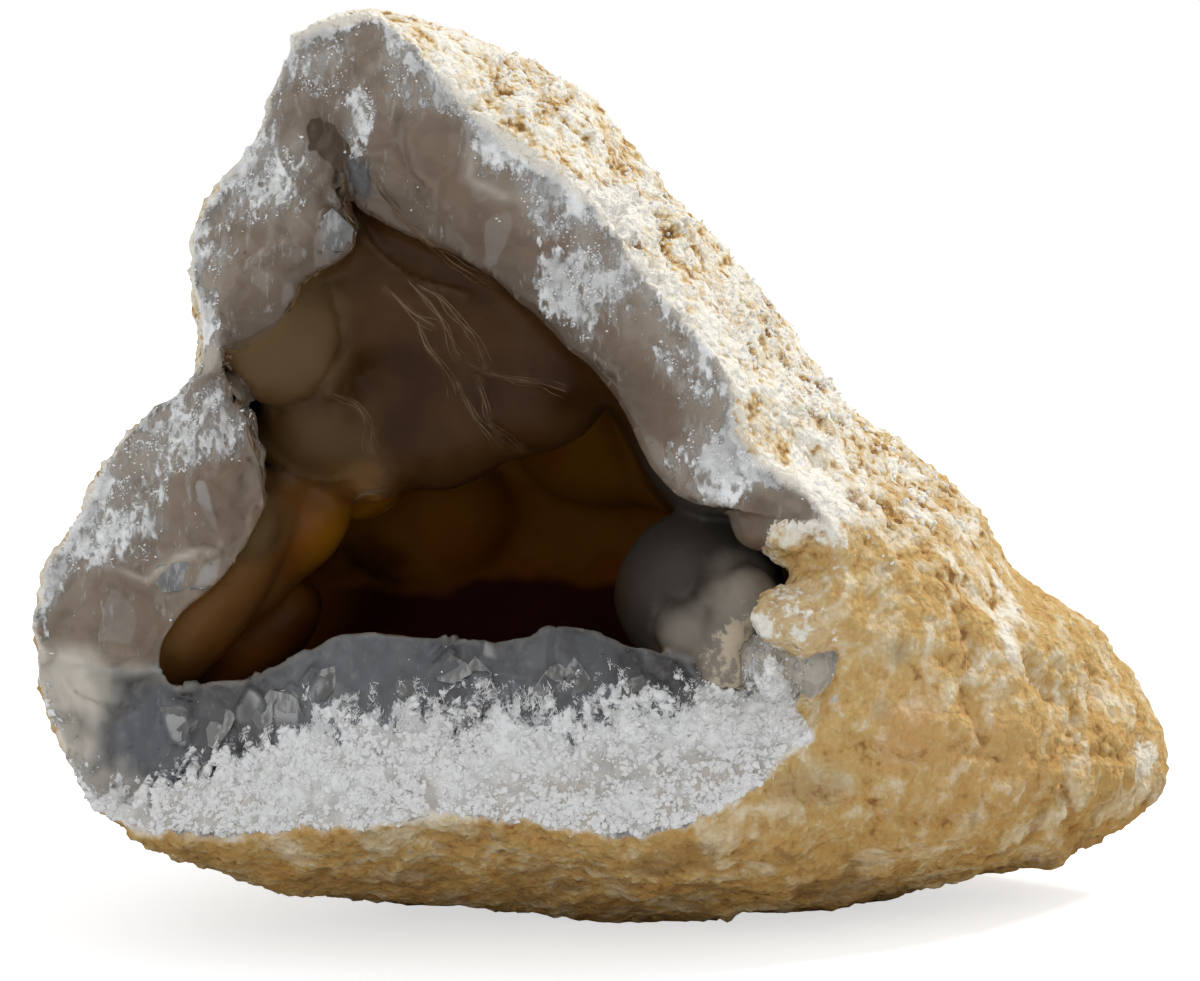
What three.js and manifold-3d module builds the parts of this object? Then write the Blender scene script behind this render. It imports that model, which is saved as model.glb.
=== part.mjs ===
// Rough chalcedony: one broken nodule with a limestone rind, a thick chalcedony wall and an open hollow.
// Millimetres, +Z up. The broken mouth faces -Y. The origin is the middle of the bounding box, at its base.
import * as THREE from "three";
import { LoftGeometry } from "three/addons/geometries/LoftGeometry.js";
import { mergeVertices } from "three/addons/utils/BufferGeometryUtils.js";
import Module from "manifold-3d";

// Stations run clockwise round the mouth, as seen from the front, each as [x, y, z] before the stone is set
// down on its resting face:
// inner is the edge of the hollow, outer is the edge of the rind, girth is where the rind is widest.
const STATIONS = [
  // peak of the roof, with the narrow crevice under it
  { inner: [-34, 9, 99.5], outer: [-38.5, 13, 112.5], girth: [-39, 24, 110] },
  { inner: [-32, 8, 93], outer: [-33, 13, 114.5], girth: [-33.5, 28, 115] },
  { inner: [-27.5, 6, 89], outer: [-27.5, 12, 114.5], girth: [-27, 32, 115.5] },
  // roof, sloping down to the right
  { inner: [-18.5, 5, 85], outer: [-19, 10, 105.5], girth: [-13, 34, 111] },
  { inner: [-10.5, 4, 79.5], outer: [-9.5, 9, 97.5], girth: [-1.5, 35, 104.5] },
  { inner: [-3, 3, 72.5], outer: [0, 8, 90], girth: [10, 35, 91.5] },
  { inner: [3, 2, 65.5], outer: [7, 6, 80.5], girth: [21.5, 36, 79.5] },
  { inner: [6.5, 1, 58], outer: [16, 4, 70], girth: [32, 37, 64.5] },
  { inner: [11, 0, 54.5], outer: [19, 2, 60], girth: [42.5, 38, 56] },
  // right end of the mouth, and the tail of the stone beyond it
  { inner: [17.5, 0, 53.5], outer: [25.5, 0, 55.5], girth: [52.5, 38, 48] },
  { inner: [24, 2, 50.5], outer: [29.5, -1, 49.5], girth: [58, 38, 39.5] },
  { inner: [26.5, 3, 41.5], outer: [30.5, -2, 41], girth: [68.5, 40, 32] },
  { inner: [27, 4, 32.5], outer: [29.5, -3, 31], girth: [75.5, 42, 22] },
  { inner: [21, 6, 30], outer: [24.5, -5, 23.5], girth: [78, 40, 11] },
  // thick bottom wall
  { inner: [13, 6, 32.5], outer: [18, -7, 18.5], girth: [65, 33, 3] },
  { inner: [5, 5, 35], outer: [11, -9, 15], girth: [47.5, 31, -1] },
  { inner: [-4, 4, 37.5], outer: [0, -10, 14], girth: [27.5, 32, -5.5] },
  { inner: [-12.5, 4, 35.5], outer: [-11.5, -10, 16], girth: [5, 32, -6.5] },
  { inner: [-20, 4, 36], outer: [-22, -10, 16], girth: [-13, 30, -5] },
  { inner: [-29, 3, 37.5], outer: [-32.5, -9, 14], girth: [-27.5, 26, -2.5] },
  { inner: [-38, 3, 34.5], outer: [-43.5, -7, 13.5], girth: [-39, 18, 1] },
  { inner: [-46.5, 3, 31], outer: [-54, -5, 13], girth: [-48.5, 14, 5] },
  // left corner and left wall
  { inner: [-54.5, 4, 30.5], outer: [-62.5, -2, 14], girth: [-58, 12, 9.5] },
  { inner: [-55.5, 4, 34.5], outer: [-67, 0, 21], girth: [-65, 18, 14.5] },
  { inner: [-53, 4, 39.5], outer: [-71.5, 3, 34], girth: [-71.5, 24, 28] },
  { inner: [-46, 3, 46.5], outer: [-70.5, 6, 45], girth: [-70.5, 28, 39.5] },
  { inner: [-42, 2, 54], outer: [-66, 8, 53.5], girth: [-66.5, 30, 48.5] },
  { inner: [-43.5, 2, 61.5], outer: [-60, 9, 63], girth: [-60.5, 30, 58.5] },
  // waist of the left side, where the wall is thinnest
  { inner: [-46.5, 3, 67.5], outer: [-51.5, 10, 69.5], girth: [-52.5, 28, 67] },
  { inner: [-47, 4, 72.5], outer: [-50.5, 10, 74.5], girth: [-51.5, 26, 73] },
  // upper left lobe
  { inner: [-42.5, 2, 75.5], outer: [-51.5, 10, 79.5], girth: [-52, 26, 79.5] },
  { inner: [-37.5, 2, 81], outer: [-52, 11, 85.5], girth: [-51, 26, 86.5] },
  { inner: [-31, 2, 86.5], outer: [-49.5, 11, 92], girth: [-48, 26, 93] },
  { inner: [-33, 7, 94.5], outer: [-44, 12, 99.5], girth: [-43, 26, 99.5] },
];
const BACK_POLE = [6, 80, 44]; // rearmost point of the rind
const NOTCH_FADE = 9; // points on either side that a point of the girth is averaged with towards the back
const HOLLOW_POLE = [-12, 60, 52]; // rearmost point of the hollow
const HOLLOW_SWELL = 0.14; // how much wider the hollow is behind the mouth
const HOLLOW_DROP = 7; // how far its floor lies below the lip
const HOLLOW_FULLNESS = 0.5; // below 1 keeps the hollow wide until near its end
const SHOULDER_OUT = 0.72; // how far the rind runs outwards before it turns back
const SHOULDER_BACK = 0.3; // how far back it is by then
const LUMP_HEIGHT = 2; // lumps of the rind
const LUMP_PITCH = 0.13; // radians per mm
const CHIP_DEPTH = 0.9; // waves of the broken face
const CHIP_PITCH = 0.42; // radians per mm

// How finely the surface is divided: round the mouth between two stations, and along each stretch.
const STEPS_PER_STATION = 3;
const DOME_ROWS = 8;
const SHOULDER_ROWS = 5;
const FACE_ROWS = 4;
const HOLLOW_ROWS = 9;

// Rounded growths joined to the wall: centre [x, y, z] and half sizes [x, y, z].
const LOBES = [
  // curtain hanging from the roof
  { at: [-38, 10, 73.5], half: [7.5, 9, 9] },
  { at: [-33, 17, 62], half: [11, 10, 9] },
  { at: [-22, 22, 63], half: [11, 11, 9.5] },
  { at: [-10.5, 20, 69], half: [10.5, 11, 9.5] },
  { at: [-30.5, 19, 55.5], half: [4.5, 5, 4] },
  { at: [-23, 17, 78], half: [16, 13, 12] },
  { at: [-5, 16, 73], half: [8, 10, 8] },
  // rounded edge and ledges on the left
  { at: [-47.5, 8, 60], half: [5.5, 7, 6] },
  { at: [-47, 9, 51], half: [6, 8, 5] },
  { at: [-49, 18, 42], half: [10, 13, 9] },
  { at: [-38, 32, 46], half: [11, 13, 8] },
  { at: [-36, 34, 36], half: [12, 13, 8] },
  // far wall
  { at: [-24, 56, 50], half: [13, 9, 12] },
  { at: [-8, 58, 60], half: [13, 9, 12] },
  { at: [7, 50, 62], half: [12, 11, 12] },
  { at: [12, 50, 48], half: [12, 10, 11] },
  // ball at the right of the hollow, with small ones on it
  { at: [13, 18, 40], half: [11, 10, 11.5] },
  { at: [14, 10, 36], half: [5, 4.5, 5] },
  { at: [18.5, 8.5, 39.5], half: [4.5, 4.5, 4.5] },
  { at: [21.5, 6, 33], half: [7.5, 5, 4.8] },
  // short stalactite, and the tongue of rind below it
  { at: [21, 8, 50.5], half: [4.5, 5, 6] },
  { at: [25.5, 0, 39], half: [6.5, 4.5, 4.4] },
];
const LOBE_DETAIL = 2;

const MIDDLE = new THREE.Vector3(3, 35, 54); // what the rind's lumps stand out from
const BED_LEVEL = -3.5; // height of the resting face, as the stations count heights
const BED_DEPTH = 20; // thickness of what is cut away under the resting face
const BED_WIDTH = 300;

const wasm = await Module();
wasm.setup();

/** A closed three.js geometry as a manifold-3d solid, without the flattened triangles at its poles. */
function solidOf(geometry) {
  const bare = new THREE.BufferGeometry().copy(geometry);
  bare.deleteAttribute("normal");
  bare.deleteAttribute("uv");
  const merged = mergeVertices(bare, 1e-4);
  const index = merged.index.array;
  const triVerts = [];
  for (let i = 0; i < index.length; i += 3) {
    const [a, b, c] = index.subarray(i, i + 3);
    if (a !== b && b !== c && c !== a) triVerts.push(a, b, c);
  }
  return new wasm.Manifold(
    new wasm.Mesh({
      numProp: 3,
      vertProperties: merged.attributes.position.array,
      triVerts: new Uint32Array(triVerts),
    }),
  );
}

/** A manifold-3d solid as a three.js geometry. */
function geometryOf(solid) {
  const mesh = solid.getMesh();
  const geometry = new THREE.BufferGeometry();
  geometry.setAttribute("position", new THREE.BufferAttribute(mesh.vertProperties, 3));
  geometry.setIndex(new THREE.BufferAttribute(mesh.triVerts, 1));
  geometry.computeVertexNormals();
  return geometry;
}

/** Points spaced evenly from station to station along the smooth ring through one point of each. */
function ringThrough(key) {
  const points = STATIONS.map((station) => new THREE.Vector3(...station[key]));
  const curve = new THREE.CatmullRomCurve3(points, true, "centripetal");
  const count = STATIONS.length * STEPS_PER_STATION;
  return Array.from({ length: count }, (_, i) => curve.getPoint(i / count));
}

/** The ring with each point averaged with its neighbours, so that its notches fade. */
function softened(ring, span) {
  return ring.map((_, i) => {
    const sum = new THREE.Vector3();
    for (let k = -span; k <= span; k++) sum.add(ring[(i + k + ring.length) % ring.length]);
    return sum.divideScalar(2 * span + 1);
  });
}

/** The point moved outwards by the height of the rind's lumps there. */
function lumpy(p, share) {
  const q = p.clone().multiplyScalar(LUMP_PITCH);
  const broad = Math.sin(q.x + 1) * Math.sin(q.y + 2) * Math.sin(q.z);
  const fine = Math.sin(q.x * 2.3 + q.y) * Math.sin(q.z * 2.1 + q.y * 1.7);
  const out = p.clone().sub(MIDDLE).normalize();
  return p.addScaledVector(out, LUMP_HEIGHT * share * (broad + 0.5 * fine));
}

/** Ring of the dome behind the girth: share is 0 at the back pole and 1 at the girth. */
function domeRing(girth, soft, share) {
  const pole = new THREE.Vector3(...BACK_POLE);
  const across = Math.sin((share * Math.PI) / 2);
  const along = Math.cos((share * Math.PI) / 2);
  return girth.map((g, i) => {
    const base = new THREE.Vector3().lerpVectors(soft[i], g, share ** 2);
    const p = new THREE.Vector3().lerpVectors(pole, base, across);
    p.y = THREE.MathUtils.lerp(base.y, pole.y, along);
    return lumpy(p, 1 - share ** 4);
  });
}

/** Ring of the rind between the girth, share 0, and the outer rim, share 1. */
function shoulderRing(girth, outer, share) {
  return girth.map((g, i) => {
    const o = outer[i];
    const turn = new THREE.Vector3().lerpVectors(o, g, SHOULDER_OUT);
    turn.y = THREE.MathUtils.lerp(o.y, g.y, SHOULDER_BACK);
    const p = new THREE.QuadraticBezierCurve3(g, turn, o).getPoint(share);
    return lumpy(p, Math.sin(share * Math.PI) * 0.5);
  });
}

/** Ring of the broken face between the inner rim, share 0, and the outer rim, share 1. */
function faceRing(inner, outer, share) {
  return inner.map((r, i) => {
    const p = new THREE.Vector3().lerpVectors(r, outer[i], share);
    const wave = Math.sin(p.x * CHIP_PITCH + p.z * 0.2) * Math.sin(p.z * CHIP_PITCH - p.x * 0.15);
    p.y += CHIP_DEPTH * wave * Math.sin(share * Math.PI);
    return p;
  });
}

/** Ring of the hollow: share is 0 at the inner rim and 1 at the hollow's pole. */
function hollowRing(inner, share) {
  const pole = new THREE.Vector3(...HOLLOW_POLE);
  const turn = (share * Math.PI) / 2;
  const width = Math.cos(turn) ** HOLLOW_FULLNESS * (1 + HOLLOW_SWELL * Math.sin(share * Math.PI));
  return inner.map((r) => {
    const p = new THREE.Vector3().lerpVectors(pole, r, width);
    p.y = THREE.MathUtils.lerp(r.y, pole.y, Math.sin(turn));
    p.z -= HOLLOW_DROP * Math.sin(share * Math.PI);
    return p;
  });
}

/** The bowl-shaped nodule: a loft from the end of the hollow over the broken wall and the rind to the back. */
function nodule() {
  const inner = ringThrough("inner");
  const outer = ringThrough("outer");
  const girth = ringThrough("girth");
  const soft = softened(girth, NOTCH_FADE);
  const sections = [];
  for (let i = HOLLOW_ROWS; i > 0; i--) {
    sections.push(hollowRing(inner, i / HOLLOW_ROWS));
  }
  for (let i = 0; i < FACE_ROWS; i++) {
    sections.push(faceRing(inner, outer, i / FACE_ROWS));
  }
  for (let i = SHOULDER_ROWS; i > 0; i--) {
    sections.push(shoulderRing(girth, outer, i / SHOULDER_ROWS));
  }
  for (let i = DOME_ROWS; i >= 0; i--) {
    sections.push(domeRing(girth, soft, i / DOME_ROWS));
  }
  return new LoftGeometry(sections, { closed: true });
}

/** One rounded growth. */
function lobe({ at, half }) {
  return new THREE.IcosahedronGeometry(1, LOBE_DETAIL).scale(...half).translate(...at);
}

/** What lies under the resting face. */
function bed() {
  return new THREE.BoxGeometry(BED_WIDTH, BED_WIDTH, BED_DEPTH).translate(0, 0, BED_LEVEL - BED_DEPTH / 2);
}

let stone = solidOf(nodule());
for (const growth of LOBES) {
  stone = stone.add(solidOf(lobe(growth)));
}
stone = stone.subtract(solidOf(bed()));

const geometry = geometryOf(stone);
geometry.computeBoundingBox();
const centre = geometry.boundingBox.getCenter(new THREE.Vector3());
geometry.translate(-centre.x, -centre.y, -BED_LEVEL);

const chalcedony = new THREE.Mesh(
  geometry,
  new THREE.MeshStandardMaterial({ color: 0xb9a88c, roughness: 0.75, metalness: 0 }),
);
chalcedony.name = "chalcedony_stone";

const part = new THREE.Group();
part.add(chalcedony);
export default part;
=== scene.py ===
"""Looks of a rough chalcedony nodule: a limestone rind, a broken wall of chalcedony and an open hollow.

The stone grew as one piece, so one mesh stands for its CAD node. It is laid out on the same net of stations
round the broken mouth, fused with the rounded growths of the hollow, chipped and weathered, and thinned where
it is plain. Loose-looking quartz sugar and crumbs of rind are grains of their own on top of it.
Lengths are in metres. Noise works in millimetres.
"""

import logging
import math
from dataclasses import dataclass, field
from enum import Enum, IntEnum
from itertools import product

import bmesh
import bpy
import numpy as np
from mathutils import Matrix, Vector, kdtree
from mathutils.bvhtree import BVHTree


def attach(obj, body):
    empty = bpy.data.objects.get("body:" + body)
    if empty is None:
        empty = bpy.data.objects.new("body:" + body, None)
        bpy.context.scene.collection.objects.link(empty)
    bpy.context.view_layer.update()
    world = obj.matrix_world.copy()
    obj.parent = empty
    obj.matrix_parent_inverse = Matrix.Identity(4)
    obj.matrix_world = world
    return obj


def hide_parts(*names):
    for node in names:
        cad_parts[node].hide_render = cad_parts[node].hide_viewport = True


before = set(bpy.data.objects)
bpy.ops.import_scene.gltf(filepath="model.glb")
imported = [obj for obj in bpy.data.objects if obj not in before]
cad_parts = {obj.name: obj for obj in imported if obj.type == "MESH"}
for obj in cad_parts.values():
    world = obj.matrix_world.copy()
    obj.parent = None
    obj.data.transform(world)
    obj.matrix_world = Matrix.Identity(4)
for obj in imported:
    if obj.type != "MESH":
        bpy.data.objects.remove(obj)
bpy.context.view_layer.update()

MM = 0.001
IN_FRONT = -0.1  # a place before the whole stone, along Y
AIM_HEIGHT = 0.0556  # height the camera looks at, as the stations count heights
LOG = logging.getLogger("nodule")
Array = np.ndarray
Fields = dict[str, Array]  # values for each point of a skin, by what they say
Color = tuple[float, float, float, float]
Place = tuple[float, float, float]
Socket = bpy.types.NodeSocket


class Zone(IntEnum):
    """Which skin of the stone a point is on."""

    HOLLOW = 0
    FACE = 1
    RIND = 2


class Tone(Enum):
    """What a patch changes in the skin around it."""

    FROST = "frost"
    CLEAR = "clear"
    PALE = "pale"
    COOL = "cool"
    SPOT = "spot"
    CREAM = "cream"
    AMBER = "amber"
    OLIVE = "olive"
    DEEP = "deep"
    MILK = "milk"
    HOLE = "hole"
    PITS = "pits"
    SMOOTH = "smooth"
    GREY = "grey"
    ORANGE = "orange"
    CHALK = "chalk"


CRISP = (Tone.PALE, Tone.SPOT, Tone.CLEAR, Tone.HOLE)  # tones whose patches end sharply


# -------------------- noise


def lattice(cells: Array, seed: int, count: int) -> list[Array]:
    """Repeatable random numbers for whole-numbered cells.

    Args:
        cells: integer cell coordinates, shape (n, 3).
        seed: chooses the sequence.
        count: how many numbers each cell gets.

    Returns:
        count arrays of n numbers from 0 to 1.
    """
    x, y, z = cells[:, 0], cells[:, 1], cells[:, 2]
    mixed = x * 374761393 + y * 668265263 + z * 1440662683 + seed * 974634777
    mixed = (mixed ^ (mixed >> 13)) * 1274126177
    numbers = []
    for _ in range(count):
        mixed = (mixed ^ (mixed >> 15)) * 2246822519
        numbers.append(((mixed >> 11) & 0xFFFFFF) / 0xFFFFFF)
    return numbers


def ripple(points: Array, pitch: float, seed: int) -> Array:
    """Smooth gradient noise.

    Args:
        points: where to read it, in millimetres, shape (n, 3).
        pitch: millimetres from one lump to the next.
        seed: chooses the pattern.

    Returns:
        n values from about -1 to 1.
    """
    scaled = points / pitch
    cell = np.floor(scaled)
    part = scaled - cell
    cell = cell.astype(np.int64)
    ease = part**3 * (part * (part * 6 - 15) + 10)
    total = np.zeros(len(points))
    for corner in np.ndindex(2, 2, 2):
        offset = part - corner
        pull = lattice(cell + np.array(corner), seed, 3)
        value = sum((2 * pull[k] - 1) * offset[:, k] for k in range(3))
        for k in range(3):
            value = value * (ease[:, k] if corner[k] else 1 - ease[:, k])
        total += value
    return total * 1.5


def billow(points: Array, pitch: float, octaves: int, seed: int, keep: float = 0.5) -> Array:
    """Rounded crumbs with sharp creases between them.

    Args:
        points: where to read it, in millimetres.
        pitch: size of the largest crumbs in millimetres.
        octaves: how many sizes are added.
        seed: chooses the pattern.
        keep: height of each size against the one before.

    Returns:
        One value a point, 0 in the creases and up to about 1.
    """
    total = np.zeros(len(points))
    for octave in range(octaves):
        total += keep**octave * np.abs(ripple(points, pitch / 2**octave, seed + octave))
    return total


def shards(points: Array, pitch: float, seed: int) -> tuple[Array, Array, Array]:
    """Flat splinters: each cell of a random mosaic leans its own way.

    Args:
        points: where to read it, in millimetres.
        pitch: size of a splinter in millimetres.
        seed: chooses the mosaic.

    Returns:
        The height of the leaning splinter at each point, how far inside its splinter the point is, 0 to 1,
        and a number from 0 to 1 that each splinter has of its own.
    """
    scaled = points / pitch
    cell = np.floor(scaled).astype(np.int64)
    first = np.full(len(points), 9.0)
    second = np.full(len(points), 9.0)
    height, tint = np.zeros(len(points)), np.zeros(len(points))
    for step in np.ndindex(3, 3, 3):
        near = cell + np.array(step) - 1
        spot = lattice(near, seed, 7)
        offset = scaled - near - np.stack(spot[:3], axis=1)
        distance = np.linalg.norm(offset, axis=1)
        closer = distance < first
        second = np.where(closer, first, np.minimum(second, distance))
        lean = sum((2 * spot[3 + k] - 1) * offset[:, k] for k in range(3))
        height, tint = np.where(closer, lean, height), np.where(closer, spot[6], tint)
        first = np.where(closer, distance, first)
    return height, np.clip((second - first) * 2.5, 0, 1), tint


def eased(low: float, high: float, value: Array) -> Array:
    """Smooth step from 0 at low to 1 at high.

    Args:
        low: value that gives 0.
        high: value that gives 1; it may be the smaller of the two.
        value: values to map.

    Returns:
        The mapped values, from 0 to 1.
    """
    share = np.clip((value - low) / (high - low), 0, 1)
    return share * share * (3 - 2 * share)


# -------------------- the net and the loft


@dataclass(frozen=True)
class Station:
    """One place round the mouth: the lip of the hollow, the rim of the rind and the stone's girth there."""

    lip: Place
    rim: Place
    girth: Place


STATIONS = (
    Station((-0.034, 0.009, 0.0995), (-0.0385, 0.013, 0.1125), (-0.039, 0.024, 0.11)),
    Station((-0.032, 0.008, 0.093), (-0.033, 0.013, 0.1145), (-0.0335, 0.028, 0.115)),
    Station((-0.0275, 0.006, 0.089), (-0.0275, 0.012, 0.1145), (-0.027, 0.032, 0.1155)),
    Station((-0.0185, 0.005, 0.085), (-0.019, 0.01, 0.1055), (-0.013, 0.034, 0.111)),
    Station((-0.0105, 0.004, 0.0795), (-0.0095, 0.009, 0.0975), (-0.0015, 0.035, 0.1045)),
    Station((-0.003, 0.003, 0.0725), (0.0, 0.008, 0.09), (0.01, 0.035, 0.0915)),
    Station((0.003, 0.002, 0.0655), (0.007, 0.006, 0.0805), (0.0215, 0.036, 0.0795)),
    Station((0.0065, 0.001, 0.058), (0.016, 0.004, 0.07), (0.032, 0.037, 0.0645)),
    Station((0.011, 0.0, 0.0545), (0.019, 0.002, 0.06), (0.0425, 0.038, 0.056)),
    Station((0.0175, 0.0, 0.0535), (0.0255, 0.0, 0.0555), (0.0525, 0.038, 0.048)),
    Station((0.024, 0.002, 0.0505), (0.0295, -0.001, 0.0495), (0.058, 0.038, 0.0395)),
    Station((0.0265, 0.003, 0.0415), (0.0305, -0.002, 0.041), (0.0685, 0.04, 0.032)),
    Station((0.027, 0.004, 0.0325), (0.0295, -0.003, 0.031), (0.0755, 0.042, 0.022)),
    Station((0.021, 0.006, 0.03), (0.0245, -0.005, 0.0235), (0.078, 0.04, 0.011)),
    Station((0.013, 0.006, 0.0325), (0.018, -0.007, 0.0185), (0.065, 0.033, 0.003)),
    Station((0.005, 0.005, 0.035), (0.011, -0.009, 0.015), (0.0475, 0.031, -0.001)),
    Station((-0.004, 0.004, 0.0375), (0.0, -0.01, 0.014), (0.0275, 0.032, -0.0055)),
    Station((-0.0125, 0.004, 0.0355), (-0.0115, -0.01, 0.016), (0.005, 0.032, -0.0065)),
    Station((-0.02, 0.004, 0.036), (-0.022, -0.01, 0.016), (-0.013, 0.03, -0.005)),
    Station((-0.029, 0.003, 0.0375), (-0.0325, -0.009, 0.014), (-0.0275, 0.026, -0.0025)),
    Station((-0.038, 0.003, 0.0345), (-0.0435, -0.007, 0.0135), (-0.039, 0.018, 0.001)),
    Station((-0.0465, 0.003, 0.031), (-0.054, -0.005, 0.013), (-0.0485, 0.014, 0.005)),
    Station((-0.0545, 0.004, 0.0305), (-0.0625, -0.002, 0.014), (-0.058, 0.012, 0.0095)),
    Station((-0.0555, 0.004, 0.0345), (-0.067, 0.0, 0.021), (-0.065, 0.018, 0.0145)),
    Station((-0.053, 0.004, 0.0395), (-0.0715, 0.003, 0.034), (-0.0715, 0.024, 0.028)),
    Station((-0.046, 0.003, 0.0465), (-0.0705, 0.006, 0.045), (-0.0705, 0.028, 0.0395)),
    Station((-0.042, 0.002, 0.054), (-0.066, 0.008, 0.0535), (-0.0665, 0.03, 0.0485)),
    Station((-0.0435, 0.002, 0.0615), (-0.06, 0.009, 0.063), (-0.0605, 0.03, 0.0585)),
    Station((-0.0465, 0.003, 0.0675), (-0.0515, 0.01, 0.0695), (-0.0525, 0.028, 0.067)),
    Station((-0.047, 0.004, 0.0725), (-0.0505, 0.01, 0.0745), (-0.0515, 0.026, 0.073)),
    Station((-0.0425, 0.002, 0.0755), (-0.0515, 0.01, 0.0795), (-0.052, 0.026, 0.0795)),
    Station((-0.0375, 0.002, 0.081), (-0.052, 0.011, 0.0855), (-0.051, 0.026, 0.0865)),
    Station((-0.031, 0.002, 0.0865), (-0.0495, 0.011, 0.092), (-0.048, 0.026, 0.093)),
    Station((-0.033, 0.007, 0.0945), (-0.044, 0.012, 0.0995), (-0.043, 0.026, 0.0995)),
)
BED_LEVEL = -0.0035  # height of the resting face, as the stations count heights
FIRST_BOTTOM, LAST_BOTTOM = 12.6, 24.1  # stations between which the thick bottom wall lies
WAIST_STATION = 21.5  # from here on the bottom wall ends at the waist of the left wall
NO_WALL = (9.7, 12.7)  # stations between which rind reaches the hollow and no broken wall shows
SUGAR_STATIONS = (12.5, 14, 15, 16, 20, 21, 22, 24)
SUGAR_STARTS = (0.02, 0.18, 0.31, 0.38, 0.38, 0.48, 0.78, 1.1)  # where sugar begins from lip, 0, to rim, 1


def spline_ring(points: Array, count: int) -> Array:
    """Closed centripetal Catmull-Rom ring, read evenly from station to station.

    Args:
        points: the stations' points, shape (stations, 3).
        count: how many points to read.

    Returns:
        The ring, shape (count, 3).
    """
    before, after, beyond = (np.roll(points, k, axis=0) for k in (1, -1, -2))
    gap_in, gap, gap_out = (
        np.sqrt(np.linalg.norm(b - a, axis=1))[:, None]
        for a, b in ((before, points), (points, after), (after, beyond))
    )
    start = (points - before) / gap_in - (after - before) / (gap_in + gap) + (after - points) / gap
    end = (after - points) / gap - (beyond - points) / (gap + gap_out) + (beyond - after) / gap_out
    start, end = start * gap, end * gap
    place = np.arange(count) / count * len(points)
    index = place.astype(int)
    t = (place - index)[:, None]
    a, b, m, n = points[index], after[index], start[index], end[index]
    return a + m * t + (3 * (b - a) - 2 * m - n) * t**2 + (2 * (a - b) + m + n) * t**3


@dataclass(frozen=True)
class Lobe:
    """A rounded growth: its middle and half sizes, its skin and how far its top leans to the right."""

    at: Place
    half: Place
    zone: Zone = Zone.HOLLOW
    lean: float = 0.0

    def axes(self) -> Array:
        """The lobe's own axes as columns."""
        across, up = math.cos(math.radians(self.lean)), math.sin(math.radians(self.lean))
        return np.array([[across, 0, up], [0, 1, 0], [-up, 0, across]])


LOBES = (
    # curtain hanging from the roof
    Lobe((-0.0398, 0.0125, 0.0735), (0.009, 0.0085, 0.0092)),
    Lobe((-0.0365, 0.019, 0.0625), (0.0092, 0.009, 0.0074)),
    Lobe((-0.0307, 0.0195, 0.0558), (0.0052, 0.006, 0.004)),
    Lobe((-0.0294, 0.0155, 0.0535), (0.0029, 0.0024, 0.0017)),
    Lobe((-0.0225, 0.0225, 0.0645), (0.0135, 0.011, 0.0115)),
    Lobe((-0.0115, 0.023, 0.0665), (0.0125, 0.0115, 0.0092)),
    Lobe((-0.018, 0.0225, 0.074), (0.018, 0.0125, 0.013)),
    Lobe((-0.026, 0.0215, 0.08), (0.0155, 0.0125, 0.013)),
    Lobe((-0.005, 0.0195, 0.0725), (0.009, 0.011, 0.009)),
    # rounded edge of the left wall
    Lobe((-0.0487, 0.008, 0.0628), (0.005, 0.006, 0.0068), Zone.FACE),
    Lobe((-0.0477, 0.0075, 0.0565), (0.0052, 0.006, 0.0068), Zone.FACE),
    # ledges behind it, nested like scales
    Lobe((-0.0449, 0.0115, 0.0497), (0.0036, 0.005, 0.0052), lean=12),
    Lobe((-0.0502, 0.0165, 0.0412), (0.0063, 0.0085, 0.018), lean=34),
    Lobe((-0.0405, 0.0245, 0.0488), (0.0066, 0.008, 0.0098), lean=34),
    Lobe((-0.0465, 0.0235, 0.0412), (0.0054, 0.007, 0.0098), lean=42),
    Lobe((-0.0335, 0.0325, 0.0565), (0.0095, 0.0095, 0.0085)),
    Lobe((-0.0475, 0.03, 0.032), (0.006, 0.009, 0.012), lean=55),
    # far wall
    Lobe((-0.025, 0.0575, 0.046), (0.013, 0.009, 0.0105)),
    Lobe((0.001, 0.0585, 0.059), (0.014, 0.01, 0.012)),
    # ball at the right of the hollow, with small ones on it
    Lobe((0.013, 0.018, 0.04), (0.011, 0.01, 0.0115)),
    Lobe((0.0112, 0.009, 0.0368), (0.0044, 0.0044, 0.0042)),
    Lobe((0.0158, 0.006, 0.0368), (0.0036, 0.0034, 0.0034)),
    Lobe((0.0185, 0.0078, 0.0412), (0.0044, 0.0048, 0.0042)),
    Lobe((0.0142, 0.0075, 0.0415), (0.0028, 0.003, 0.0028)),
    Lobe((0.0165, 0.0055, 0.0325), (0.0045, 0.004, 0.0036)),
    # stub hanging from the upper rim, and the tongue of rind below it
    Lobe((0.0205, 0.0065, 0.0515), (0.0042, 0.0045, 0.0045), Zone.FACE),
    Lobe((0.0245, 0.0055, 0.0495), (0.0038, 0.0045, 0.0048), Zone.RIND),
    Lobe((0.0248, 0.0, 0.0393), (0.006, 0.0045, 0.0048), Zone.RIND),
    Lobe((0.0285, 0.0025, 0.0405), (0.0055, 0.006, 0.0065), Zone.RIND),
    # creamy glass that fills the corner under the tongue
    Lobe((0.0235, 0.0055, 0.0325), (0.0068, 0.0052, 0.0046), Zone.FACE),
    Lobe((0.028, 0.004, 0.0335), (0.0045, 0.0052, 0.005), Zone.FACE),
)


@dataclass(frozen=True)
class Fold:
    """A thin ridge, or a crease where its height is negative, through points given across and up."""

    path: tuple[tuple[float, float], ...]
    height: float = 0.0003
    width: float = 0.00035


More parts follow.
